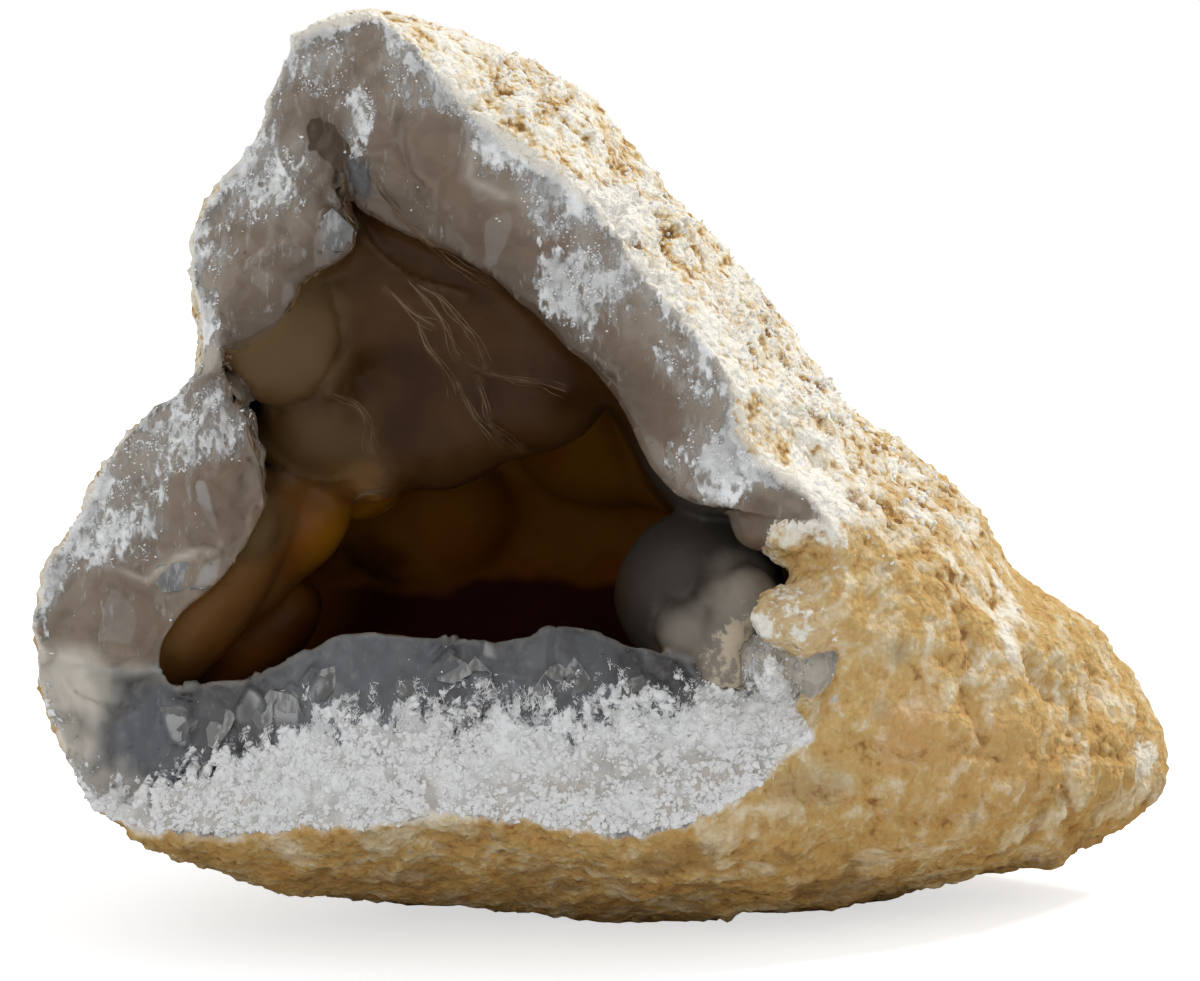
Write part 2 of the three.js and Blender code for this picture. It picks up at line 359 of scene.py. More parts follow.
FOLDS = (
    # two lips of the roof
    Fold(
        ((-0.0288, 0.0947), (-0.027, 0.0917), (-0.0245, 0.089), (-0.0188, 0.0838), (-0.0135, 0.0805)), 0.0005
    ),
    Fold(
        ((-0.0328, 0.0917), (-0.0312, 0.0891), (-0.0286, 0.085), (-0.0245, 0.0818), (-0.017, 0.0793)), 0.0006
    ),
    # fan below them
    Fold(((-0.0244, 0.0816), (-0.0214, 0.0782), (-0.0194, 0.0752), (-0.0182, 0.0718), (-0.0154, 0.07))),
    Fold(((-0.0154, 0.07), (-0.0118, 0.0689), (-0.0068, 0.0682), (-0.0042, 0.0671))),
    Fold(
        ((-0.0232, 0.081), (-0.0204, 0.0793), (-0.018, 0.0764), (-0.0159, 0.0743), (-0.0144, 0.0705)), 0.0003
    ),
    Fold(((-0.0274, 0.0806), (-0.0252, 0.0787), (-0.0229, 0.0766), (-0.0208, 0.0756)), 0.00025),
    Fold(
        ((-0.0232, 0.0762), (-0.0224, 0.0733), (-0.0211, 0.0716), (-0.0187, 0.0682), (-0.0184, 0.0665)),
        0.00025
    ),
    Fold(((-0.0184, 0.0685), (-0.0158, 0.0635), (-0.013, 0.0598)), 0.0003),
    # outlines of the rounded sheets on the left
    Fold(
        (
            *((-0.0462, 0.0665), (-0.0416, 0.0643), (-0.0364, 0.0662)),
            *((-0.0332, 0.0702), (-0.0322, 0.0747), (-0.0332, 0.0786)),
        ),
        -0.0007,
        0.0006,
    ),
    Fold(((-0.0156, 0.0688), (-0.0148, 0.0655), (-0.0143, 0.0629), (-0.0104, 0.0594)), -0.0006, 0.0006),
    Fold(((-0.0345, 0.0671), (-0.031, 0.0653), (-0.0293, 0.0625), (-0.0296, 0.059)), 0.00035, 0.0005),
    Fold(
        ((-0.0447, 0.0637), (-0.0434, 0.0595), (-0.0396, 0.0567), (-0.0352, 0.0553), (-0.0315, 0.0557)),
        0.0003
    ),
    Fold(
        ((-0.032, 0.0522), (-0.0308, 0.0536), (-0.0282, 0.0541), (-0.0267, 0.0535), (-0.0277, 0.0516)),
        0.00025
    ),
)


RIDGES = (
    # where the left wall meets the bottom wall, and down from there along the creamy corner
    Fold(((-0.0715, 0.0345), (-0.0665, 0.0338), (-0.0615, 0.0322), (-0.0545, 0.0322)), 0.0009, 0.0013),
    Fold(((-0.0655, 0.0335), (-0.0635, 0.0265), (-0.0655, 0.0195)), 0.0006, 0.0013),
    Fold(((-0.0155, 0.0985), (-0.0165, 0.0945), (-0.0135, 0.0925), (-0.0085, 0.0915)), 0.0006, 0.0008),
    Fold(((-0.0625, 0.0455), (-0.0575, 0.0435), (-0.0535, 0.0465), (-0.0485, 0.0475)), 0.0005, 0.0007),
)
CLEFTS = (
    # beside the broken lobe at the upper left, down to the roof's lips
    Fold(((-0.0331, 0.0952), (-0.0326, 0.0925), (-0.0318, 0.0903), (-0.0308, 0.0875)), -0.0012, 0.0008),
    Fold(((-0.0362, 0.1035), (-0.0352, 0.1015), (-0.035, 0.1)), -0.0005, 0.0006),
    Fold(((-0.0245, 0.1045), (-0.0255, 0.1), (-0.0243, 0.0955), (-0.0215, 0.0912)), -0.0005, 0.0006),
    # round the dark glass at the left end of the bottom wall
    Fold(((-0.0615, 0.0265), (-0.0585, 0.0305), (-0.053, 0.0318), (-0.0465, 0.0305)), -0.0005, 0.0006),
)
CREASES = (
    # behind the right end of the mouth, where the tail of the stone sets off
    Fold(
        ((0.0562, 0.032), (0.0585, 0.027), (0.0627, 0.0245), (0.0605, 0.016), (0.0629, 0.0075)),
        -0.0013, 0.0011
    ),
    Fold(((0.0365, 0.05), (0.041, 0.0445), (0.0465, 0.042), (0.0525, 0.0385)), -0.0009, 0.0009),
    Fold(((0.0445, 0.041), (0.048, 0.0345), (0.0465, 0.0285), (0.0495, 0.0225)), -0.0008, 0.0009),
    Fold(((0.031, 0.0255), (0.0385, 0.0215), (0.0455, 0.0225), (0.052, 0.0195)), -0.0007, 0.0008),
    Fold(((0.0215, 0.0185), (0.0305, 0.0175), (0.0375, 0.0135), (0.0475, 0.0125)), -0.0008, 0.001),
    Fold(((0.0635, 0.0335), (0.0665, 0.0275), (0.0655, 0.0215)), -0.0009, 0.0009),
    Fold(((0.0275, 0.0585), (0.034, 0.053), (0.0385, 0.0515)), -0.0008, 0.0009),
    Fold(((0.0655, 0.0185), (0.0705, 0.0165), (0.0745, 0.0175)), -0.0008, 0.0008),
)


@dataclass
class Loft:
    """The bowl-shaped nodule without its growths, as rows of rings from the hollow's end to the back."""

    around: int = 34 * 18
    hollow_rows: int = 56
    face_rows: int = 28
    shoulder_rows: int = 36
    dome_rows: int = 50
    back_pole: Place = (0.006, 0.08, 0.044)
    hollow_pole: Place = (-0.012, 0.06, 0.052)
    hollow_swell: float = 0.14
    hollow_drop: float = 0.007
    hollow_fullness: float = 0.5
    notch_fade: float = 9 / 102
    shoulder_out: float = 0.72
    shoulder_back: float = 0.3
    lump_height: float = 0.002
    lump_pitch: float = 130.0
    middle: Place = (0.003, 0.035, 0.054)
    points: Array = field(init=False)
    zones: Array = field(init=False)
    shares: Array = field(init=False)  # how far each row of the broken wall is from lip, 0, to rim, 1
    lip: Array = field(init=False)
    rim: Array = field(init=False)

    def __post_init__(self) -> None:
        """Lays every row of the loft."""
        self.lip = self.ring("lip")
        self.rim = self.ring("rim")
        girth = self.ring("girth")
        across = self.rim - self.lip
        across /= np.linalg.norm(across, axis=1)[:, None]
        self.lip += across * MM * (0.9 * self.wobble(self.lip, 7, 11) + 0.4 * self.wobble(self.lip, 2.6, 12))
        self.rim += across * MM * (0.8 * self.wobble(self.rim, 6, 13) + 0.5 * self.wobble(self.rim, 2.2, 14))
        soft = self.softened(girth)
        across_face = np.linspace(0, 1, self.face_rows, endpoint=False)
        shoulder = np.linspace(1, 0, self.shoulder_rows, endpoint=False)
        rows = [self.hollow_ring(share) for share in np.linspace(1, 0, self.hollow_rows, endpoint=False)]
        rows += [self.lip + (self.rim - self.lip) * share for share in across_face]
        rows += [self.shoulder_ring(girth, share) for share in shoulder]
        rows += [self.dome_ring(girth, soft, share) for share in np.linspace(1, 0, self.dome_rows + 1)]
        self.points = np.array(rows)
        counts = (self.hollow_rows, self.face_rows, self.shoulder_rows + self.dome_rows + 1)
        self.zones = np.repeat((Zone.HOLLOW, Zone.FACE, Zone.RIND), counts)
        self.shares = np.zeros(len(rows))
        self.shares[self.zones == Zone.FACE] = across_face

    def ring(self, which: str) -> Array:
        """The smooth ring through one point of each station."""
        return spline_ring(np.array([getattr(station, which) for station in STATIONS]), self.around)

    def wobble(self, ring: Array, pitch: float, seed: int) -> Array:
        """Noise along a ring, as a column."""
        return ripple(ring / MM, pitch, seed)[:, None]

    def softened(self, ring: Array) -> Array:
        """The ring with each point averaged with its neighbours, so that its notches fade."""
        span = round(self.notch_fade * self.around)
        return sum(np.roll(ring, k, axis=0) for k in range(-span, span + 1)) / (2 * span + 1)

    def lumpy(self, ring: Array, share: float) -> Array:
        """The ring moved outwards by the height of the rind's lumps there.

        Args:
            ring: the ring's points.
            share: how much of the lumps' height it gets.

        Returns:
            The moved ring.
        """
        q = ring * self.lump_pitch
        x, y, z = q[:, 0], q[:, 1], q[:, 2]
        broad = np.sin(x + 1) * np.sin(y + 2) * np.sin(z)
        fine = np.sin(x * 2.3 + y) * np.sin(z * 2.1 + y * 1.7)
        out = ring - np.array(self.middle)
        out /= np.linalg.norm(out, axis=1)[:, None]
        return ring + out * (self.lump_height * share * (broad + 0.5 * fine))[:, None]

    def dome_ring(self, girth: Array, soft: Array, share: float) -> Array:
        """Ring of the dome behind the girth.

        Args:
            girth: the stone's girth.
            soft: the girth with its notches faded, which rings near the pole follow.
            share: 0 at the back pole and 1 at the girth.

        Returns:
            The ring.
        """
        pole = np.array(self.back_pole)
        across, along = math.sin(share * math.pi / 2), math.cos(share * math.pi / 2)
        base = soft + (girth - soft) * share**2
        ring = pole + (base - pole) * across
        ring[:, 1] = base[:, 1] + (pole[1] - base[:, 1]) * along
        return self.lumpy(ring, 1 - share**4)

    def shoulder_ring(self, girth: Array, share: float) -> Array:
        """Ring of the rind between the girth and the rim.

        Args:
            girth: the stone's girth.
            share: 0 at the girth and 1 at the rim.

        Returns:
            The ring.
        """
        turn = self.rim + (girth - self.rim) * self.shoulder_out
        turn[:, 1] = self.rim[:, 1] + (girth[:, 1] - self.rim[:, 1]) * self.shoulder_back
        ring = girth * (1 - share) ** 2 + turn * 2 * share * (1 - share) + self.rim * share**2
        return self.lumpy(ring, math.sin(share * math.pi) * 0.5)

    def hollow_ring(self, share: float) -> Array:
        """Ring of the hollow.

        Args:
            share: 0 at the lip and 1 at the hollow's pole.

        Returns:
            The ring.
        """
        pole = np.array(self.hollow_pole)
        turn, belly = share * math.pi / 2, math.sin(share * math.pi)
        width = max(math.cos(turn), 0) ** self.hollow_fullness * (1 + self.hollow_swell * belly)
        ring = pole + (self.lip - pole) * width
        ring[:, 1] = self.lip[:, 1] + (pole[1] - self.lip[:, 1]) * math.sin(turn)
        ring[:, 2] -= self.hollow_drop * belly
        return ring

    def bmesh(self) -> bmesh.types.BMesh:
        """A closed bmesh of the loft."""
        rows, columns = self.points.shape[:2]
        ring_mesh = bmesh.new()
        bmesh.ops.create_grid(ring_mesh, x_segments=columns, y_segments=rows - 1, size=1)
        ring_mesh.verts.ensure_lookup_table()
        for index, vert in enumerate(ring_mesh.verts):
            row, column = divmod(index, columns + 1)
            vert.co = self.points[row, column % columns]
        bmesh.ops.remove_doubles(ring_mesh, verts=ring_mesh.verts[:], dist=1e-6)
        bmesh.ops.recalc_face_normals(ring_mesh, faces=ring_mesh.faces[:])
        return ring_mesh


# -------------------- the surface


@dataclass(frozen=True)
class Patch:
    """A soft round patch of the skin that has a tone of its own. Tall stretches it upwards."""

    tone: Tone
    at: Place
    reach: float
    amount: float = 1.0
    tall: float = 1.0

    def strength(self, points: Array, uneven: Array) -> Array:
        """How strongly the patch marks some points.

        Args:
            points: points of the skin, shape (n, 3).
            uneven: how far its border shifts at each point, as a share of its reach.

        Returns:
            One value a point, from 0 to the patch's amount.
        """
        offset = (points - self.at) / self.reach
        offset[:, 1] *= 0.35
        offset[:, 2] /= self.tall
        crisp = self.tone in CRISP
        distance = np.linalg.norm(offset, axis=1) + uneven * (0.4 if crisp else 1)
        return self.amount * eased(1.25 if crisp else 1.5, 0.85 if crisp else 0.45, distance)


PATCHES = (
    # frost of crushed quartz round the top of the broken wall
    Patch(Tone.FROST, (-0.0297, 0.008, 0.1012), 0.0024, 1.0, 2.1),
    Patch(Tone.FROST, (-0.0204, 0.009, 0.1073), 0.0065, 0.5),
    Patch(Tone.FROST, (-0.0358, 0.01, 0.1086), 0.005, 0.55),
    Patch(Tone.FROST, (-0.0146, 0.007, 0.0977), 0.0038, 1.0),
    Patch(Tone.FROST, (-0.0051, 0.007, 0.0913), 0.0058, 0.72),
    Patch(Tone.FROST, (-0.0019, 0.005, 0.0803), 0.0058, 1.0),
    Patch(Tone.FROST, (0.0101, 0.004, 0.0704), 0.0045, 0.55),
    Patch(Tone.FROST, (0.0169, 0.001, 0.0574), 0.0058, 1.0),
    Patch(Tone.FROST, (0.0095, 0.002, 0.0605), 0.004, 0.45),
    Patch(Tone.FROST, (-0.0431, 0.008, 0.0938), 0.0058, 0.8),
    Patch(Tone.FROST, (-0.0483, 0.009, 0.0767), 0.0038, 0.65),
    Patch(Tone.FROST, (-0.0495, 0.01, 0.0855), 0.004, 0.45),
    # and down the left wall
    Patch(Tone.FROST, (-0.05, 0.005, 0.0627), 0.005, 0.72),
    Patch(Tone.FROST, (-0.0545, 0.006, 0.0588), 0.005, 0.72),
    Patch(Tone.FROST, (-0.057, 0.006, 0.0525), 0.005, 0.6),
    Patch(Tone.FROST, (-0.0642, 0.007, 0.0498), 0.0068, 0.85),
    Patch(Tone.FROST, (-0.0685, 0.006, 0.0425), 0.0045, 0.6),
    # smooth brown glass
    Patch(Tone.CLEAR, (-0.0222, 0.007, 0.0945), 0.0075),
    Patch(Tone.CLEAR, (-0.0145, 0.006, 0.0862), 0.0065, 0.75),
    Patch(Tone.CLEAR, (-0.0618, 0.004, 0.0368), 0.0078),
    Patch(Tone.CLEAR, (-0.0498, 0.004, 0.0525), 0.0052, 0.85),
    Patch(Tone.CLEAR, (-0.0426, 0.007, 0.0815), 0.0042, 0.7),
    Patch(Tone.CLEAR, (-0.0395, 0.005, 0.0775), 0.008),
    Patch(Tone.CLEAR, (0.0045, 0.002, 0.0655), 0.0045, 0.6, 1.6),
    # paler lenses and chips of it
    Patch(Tone.PALE, (-0.0507, 0.004, 0.0453), 0.0042, 0.7, 0.6),
    Patch(Tone.PALE, (-0.0332, 0.006, 0.0891), 0.0026, 0.8, 1.5),
    Patch(Tone.PALE, (-0.0475, 0.002, 0.0565), 0.0045, 0.5),
    Patch(Tone.PALE, (-0.0505, 0.0, 0.0275), 0.0055, 1.0),
    Patch(Tone.PALE, (-0.0395, 0.0, 0.031), 0.0045, 0.9),
    Patch(Tone.PALE, (-0.0172, 0.002, 0.0335), 0.004, 1.0),
    Patch(Tone.PALE, (-0.0038, 0.002, 0.0345), 0.0035, 0.8),
    Patch(Tone.SPOT, (-0.0308, 0.008, 0.0937), 0.0026, 1.0, 1.1),
    # dark brown by the stub, partly painted shade as in the crevices
    Patch(Tone.HOLE, (0.0205, 0.005, 0.0505), 0.0052, 0.34),
    # creamy corner at the lower left, thin yellow skin at the waist and by the tongue
    Patch(Tone.CREAM, (-0.0688, 0.002, 0.0302), 0.006, 1.0, 0.7),
    Patch(Tone.CREAM, (-0.069, -0.001, 0.0225), 0.0048, 0.8),
    Patch(Tone.CREAM, (-0.0635, -0.003, 0.0155), 0.0048, 0.7),
    Patch(Tone.CREAM, (0.0175, -0.003, 0.024), 0.0065, 0.5),
    Patch(Tone.CREAM, (-0.0497, 0.01, 0.0712), 0.0026, 0.7),
    Patch(Tone.CREAM, (0.0225, 0.001, 0.032), 0.0075, 1.0),
    Patch(Tone.FROST, (0.0225, 0.002, 0.0325), 0.006, 0.6),
    Patch(Tone.CLEAR, (0.0205, 0.0065, 0.0505), 0.006, 1.0),
    Patch(Tone.MILK, (0.0185, 0.0085, 0.0405), 0.0052, 1.0),
    Patch(Tone.MILK, (0.012, 0.0095, 0.0365), 0.0042, 0.8),
    Patch(Tone.MILK, (0.0165, 0.006, 0.033), 0.0055, 1.0),
    # bluish tint of the glass below the lip, partly a painted sheen of light from the front
    Patch(Tone.COOL, (-0.0572, -0.002, 0.0235), 0.0068),
    Patch(Tone.COOL, (-0.03, 0.0, 0.031), 0.012),
    Patch(Tone.COOL, (-0.008, 0.0, 0.032), 0.012, 0.6),
    # amber of the far wall and the ledges, partly painted warm light through them, and olive glass
    Patch(Tone.AMBER, (-0.004, 0.048, 0.056), 0.013),
    Patch(Tone.AMBER, (-0.02, 0.05, 0.052), 0.013, 0.6),
    Patch(Tone.AMBER, (-0.036, 0.032, 0.046), 0.0105, 1.0),
    Patch(Tone.AMBER, (-0.05, 0.02, 0.04), 0.012, 1.0),
    Patch(Tone.OLIVE, (-0.0449, 0.0095, 0.0497), 0.0055),
    Patch(Tone.OLIVE, (-0.0485, 0.0115, 0.0435), 0.0085, 0.6, 1.3),
    Patch(Tone.OLIVE, (-0.0535, 0.012, 0.036), 0.006, 0.6),
    # painted shadow deep in the hollow
    Patch(Tone.DEEP, (-0.033, 0.034, 0.0385), 0.0075, 1.0, 0.8),
    Patch(Tone.DEEP, (-0.0405, 0.032, 0.035), 0.0065, 0.7, 0.6),
    Patch(Tone.OLIVE, (-0.0365, 0.003, 0.0765), 0.005, 0.8, 1.4),
    Patch(Tone.OLIVE, (-0.0405, 0.005, 0.0725), 0.0075, 0.85),
    Patch(Tone.OLIVE, (-0.0365, 0.012, 0.0585), 0.0075, 0.5),
    # pitted, smooth and stained places of the rind
    Patch(Tone.PITS, (-0.0092, 0.022, 0.1062), 0.006),
    Patch(Tone.PITS, (0.0052, 0.018, 0.0865), 0.008),
    Patch(Tone.PITS, (0.0208, 0.025, 0.0756), 0.006),
    Patch(Tone.PITS, (0.0298, 0.025, 0.065), 0.0065),
    Patch(Tone.PITS, (0.041, 0.014, 0.0466), 0.01),
    Patch(Tone.PITS, (0.068, 0.034, 0.024), 0.01),
    Patch(Tone.PITS, (0.01, 0.01, 0.006), 0.014, 0.6),
    Patch(Tone.SMOOTH, (0.0398, 0.005, 0.0309), 0.014),
    Patch(Tone.SMOOTH, (0.034, 0.002, 0.021), 0.012),
    Patch(Tone.GREY, (0.0374, 0.006, 0.0352), 0.0022),
    Patch(Tone.GREY, (0.035, 0.004, 0.0279), 0.0018),
    Patch(Tone.GREY, (0.027, -0.003, 0.019), 0.005, 0.35, 0.6),
    Patch(Tone.ORANGE, (0.039, 0.003, 0.0249), 0.0048),
    Patch(Tone.ORANGE, (0.05, 0.012, 0.02), 0.009, 0.4),
    Patch(Tone.CHALK, (0.0735, 0.036, 0.0148), 0.0024, 0.9, 1.3),
    Patch(Tone.CHALK, (0.0192, -0.001, 0.0385), 0.0026),
    Patch(Tone.CHALK, (0.0235, -0.003, 0.0385), 0.0055, 0.45),
    Patch(Tone.CHALK, (0.028, 0.003, 0.0545), 0.0052, 0.8),
    Patch(Tone.CHALK, (0.0035, 0.012, 0.0905), 0.004, 0.9),
    Patch(Tone.CHALK, (0.0145, 0.014, 0.076), 0.006, 0.6),
    Patch(Tone.CHALK, (0.024, 0.016, 0.066), 0.005, 0.6),
)


@dataclass(frozen=True)
class Facet:
    """A flat chip: what stands out past the plane within reach of the point is cut back to it."""

    at: Place
    out: Place
    reach: float


FACETS = (
    Facet((-0.0388, 0.0035, 0.0765), (-0.5, -0.85, 0.3), 0.009),
    Facet((-0.0605, 0.003, 0.036), (0.1, -0.97, -0.1), 0.009),
    Facet((-0.0332, 0.0055, 0.089), (0.3, -0.9, -0.3), 0.0035),
    Facet((-0.0507, 0.0035, 0.0455), (0.25, -0.9, 0.4), 0.004),
    Facet((-0.053, -0.002, 0.0268), (0.45, -0.85, 0.2), 0.0028),
    Facet((-0.048, -0.003, 0.0272), (-0.4, -0.85, 0.2), 0.0028),
    Facet((-0.041, -0.001, 0.0305), (0.3, -0.85, 0.45), 0.0038),
    Facet((-0.0172, 0.001, 0.0343), (-0.2, -0.85, 0.5), 0.0036),
    Facet((-0.0038, 0.0005, 0.0352), (0.3, -0.85, 0.4), 0.0034),
    Facet((-0.0285, 0.001, 0.0335), (0.2, -0.9, 0.45), 0.0036),
)


@dataclass(frozen=True)
class Chip:
    """An angular chip of paler glass in the broken wall: its place across and up, its size and its lean."""

    across: float
    up: float
    width: float
    height: float
    lean: float = 0.0


CHIPS = (
    # under the lip of the bottom wall
    Chip(-0.0538, 0.0255, 0.004, 0.0062, -14),
    Chip(-0.0482, 0.0262, 0.0036, 0.007, 16),
    Chip(-0.0422, 0.0282, 0.003, 0.0068, 8),
    Chip(-0.0392, 0.0292, 0.0032, 0.0066, -6),
    Chip(-0.0345, 0.0322, 0.0026, 0.0052, 20),
    Chip(-0.0242, 0.031, 0.0028, 0.004, 24),
    Chip(-0.0185, 0.0328, 0.005, 0.0038, 12),
    Chip(-0.0152, 0.032, 0.0032, 0.0048, -18),
    Chip(-0.0165, 0.0282, 0.0018, 0.0046, 5),
    Chip(-0.0062, 0.0325, 0.0036, 0.0068, 15),
    Chip(-0.0028, 0.0318, 0.003, 0.005, -12),
    Chip(0.0042, 0.0312, 0.0024, 0.004, 30),
    # on the left wall and at the end of the broken lobe above it
    Chip(-0.0528, 0.0443, 0.0078, 0.0042, -8),
    Chip(-0.0332, 0.0888, 0.004, 0.006, -12),
)


@dataclass(frozen=True)
class Dent:
    """A hollowed spot, and how far it takes on the brown of a crevice."""

    at: Place
    reach: float
    depth: float
    dark: float = 0.0


DENTS = (
    # crevice beside the broken lobe, from its top down, painted dark partly as shade in it
    Dent((-0.0366, 0.01, 0.1), 0.0018, 0.0007, 1.0),
    Dent((-0.0352, 0.01, 0.099), 0.0027, 0.0013, 1.0),
    Dent((-0.0338, 0.01, 0.0972), 0.0026, 0.0015, 1.0),
    Dent((-0.033, 0.009, 0.0954), 0.0015, 0.0012, 1.0),
    # lens below it, and the corner beside the tongue
    Dent((-0.0308, 0.008, 0.0937), 0.003, 0.0012),
    Dent((0.0225, 0.003, 0.0465), 0.0025, 0.002),
)


@dataclass
class Skin:
    """A mesh's points as arrays, with the fields that say what is where."""

    mesh: bpy.types.Mesh
    points: Array = field(init=False)
    edges: Array = field(init=False)
    outward: Array | None = None
    fields: Fields = field(default_factory=dict)

    def __post_init__(self) -> None:
        """Reads the mesh."""
        count = len(self.mesh.vertices)
        flat = np.empty(count * 3)
        self.mesh.vertices.foreach_get("co", flat)
        self.points = flat.reshape(-1, 3)
        ends = np.empty(len(self.mesh.edges) * 2, dtype=np.int32)
        self.mesh.edges.foreach_get("vertices", ends)
        self.edges = ends.reshape(-1, 2)

    def write(self) -> None:
        """Puts the points back into the mesh."""
        self.mesh.vertices.foreach_set("co", self.points.ravel())
        self.mesh.update()

    def normals(self) -> Array:
        """The mesh's normal at each point."""
        self.write()
        flat = np.empty(len(self.points) * 3)
        self.mesh.vertex_normals.foreach_get("vector", flat)
        return flat.reshape(-1, 3)

    def averaged(self, values: Array) -> Array:
        """Means of neighbouring values.

        Args:
            values: one value or one row a point.

        Returns:
            The mean of its neighbours' values for each point, in the same shape.
        """
        count = len(self.points)
        one, two = self.edges[:, 0], self.edges[:, 1]
        degree = np.bincount(one, minlength=count) + np.bincount(two, minlength=count)
        columns = values.reshape(count, -1)
        means = np.empty_like(columns)
        for k in range(columns.shape[1]):
            total = np.bincount(one, columns[two, k], count) + np.bincount(two, columns[one, k], count)
            means[:, k] = total / np.maximum(degree, 1)
        return means.reshape(values.shape)

    def relax(self, rounds: int, weight: Array | float = 1.0) -> None:
        """Smooths the surface.

        Args:
            rounds: how many times each point moves to its neighbours' mean.
            weight: how much of that move each point makes, 0 to 1.
        """
        share = np.broadcast_to(weight, len(self.points))[:, None]
        for _ in range(rounds):
            self.points += (self.averaged(self.points) - self.points) * share

    def store(self, mesh: bpy.types.Mesh, chosen: Array | slice = slice(None)) -> None:
        """Writes every field to a mesh as a point attribute.

        Args:
            mesh: the skin's own mesh, or one whose points lie on the skin.
            chosen: which of the skin's points the mesh has.
        """
        for name, values in self.fields.items():
            attribute = mesh.attributes.new(name, "FLOAT", "POINT")
            attribute.data.foreach_set("value", values[chosen].astype(np.float32))


def nearest(points: Array, targets: Array) -> tuple[Array, Array]:
    """Nearest target of each point.

    Args:
        points: points to ask for, shape (n, 3).
        targets: points to find, shape (m, 3).

    Returns:
        The index of the nearest target and the distance to it, for each point.
    """
    tree = kdtree.KDTree(len(targets))
    for index, target in enumerate(targets.tolist()):
        tree.insert(target, index)
    tree.balance()
    found = [tree.find(point)[1:] for point in points.tolist()]
    index, distance = zip(*found)
    return np.array(index), np.array(distance)


def meshed(shape: bmesh.types.BMesh, name: str) -> bpy.types.Mesh:
    """Turns a shape into a mesh.

    Args:
        shape: the shape, which is freed.
        name: the mesh's name.

    Returns:
        The mesh.
    """
    mesh = bpy.data.meshes.new(name)
    shape.to_mesh(mesh)
    shape.free()
    return mesh


def in_scene(name: str, data: bpy.types.ID) -> bpy.types.Object:
    """A new object of the scene with that data."""
    obj = bpy.data.objects.new(name, data)
    bpy.context.scene.collection.objects.link(obj)
    return obj


def baked(obj: bpy.types.Object) -> bpy.types.Mesh:
    """Applies an object's modifiers to its own mesh.

    Args:
        obj: the object.

    Returns:
        Its new mesh.
    """
    depsgraph = bpy.context.evaluated_depsgraph_get()
    mesh = bpy.data.meshes.new_from_object(obj.evaluated_get(depsgraph))
    obj.modifiers.clear()
    old = obj.data
    obj.data = mesh
    bpy.data.meshes.remove(old)
    return mesh


def traced(folds: tuple[Fold, ...], points: Array) -> tuple[Array, Array]:
    """How strongly the folds mark some points.

    Args:
        folds: the folds.
        points: points of the skin, shape (n, 3).

    Returns:
        How near each point is to a fold, 0 to 1 and broken up along it, and how far it moves outwards.
    """
    flat = points[:, [0, 2]]
    places = points[:, [0, 2, 2]] / MM
    flat = flat + 0.35 * MM * np.stack([ripple(places, 3, 71), ripple(places, 3, 72)], axis=1)
    line, lift = np.zeros(len(flat)), np.zeros(len(flat))
    for fold in folds:
        path = np.array(fold.path)
        near = np.zeros(len(flat))
        for start, end in zip(path, path[1:]):
            along = np.clip((flat - start) @ (end - start) / ((end - start) @ (end - start)), 0, 1)
            distance = np.linalg.norm(flat - start - along[:, None] * (end - start), axis=1)
            near = np.maximum(near, np.exp(-((distance / fold.width) ** 2)))
        line = np.maximum(line, near)
        lift = np.where(near * abs(fold.height) > abs(lift), near * fold.height, lift)
    return line * np.clip(0.6 + 0.5 * ripple(places, 2.5, 73), 0, 1), lift


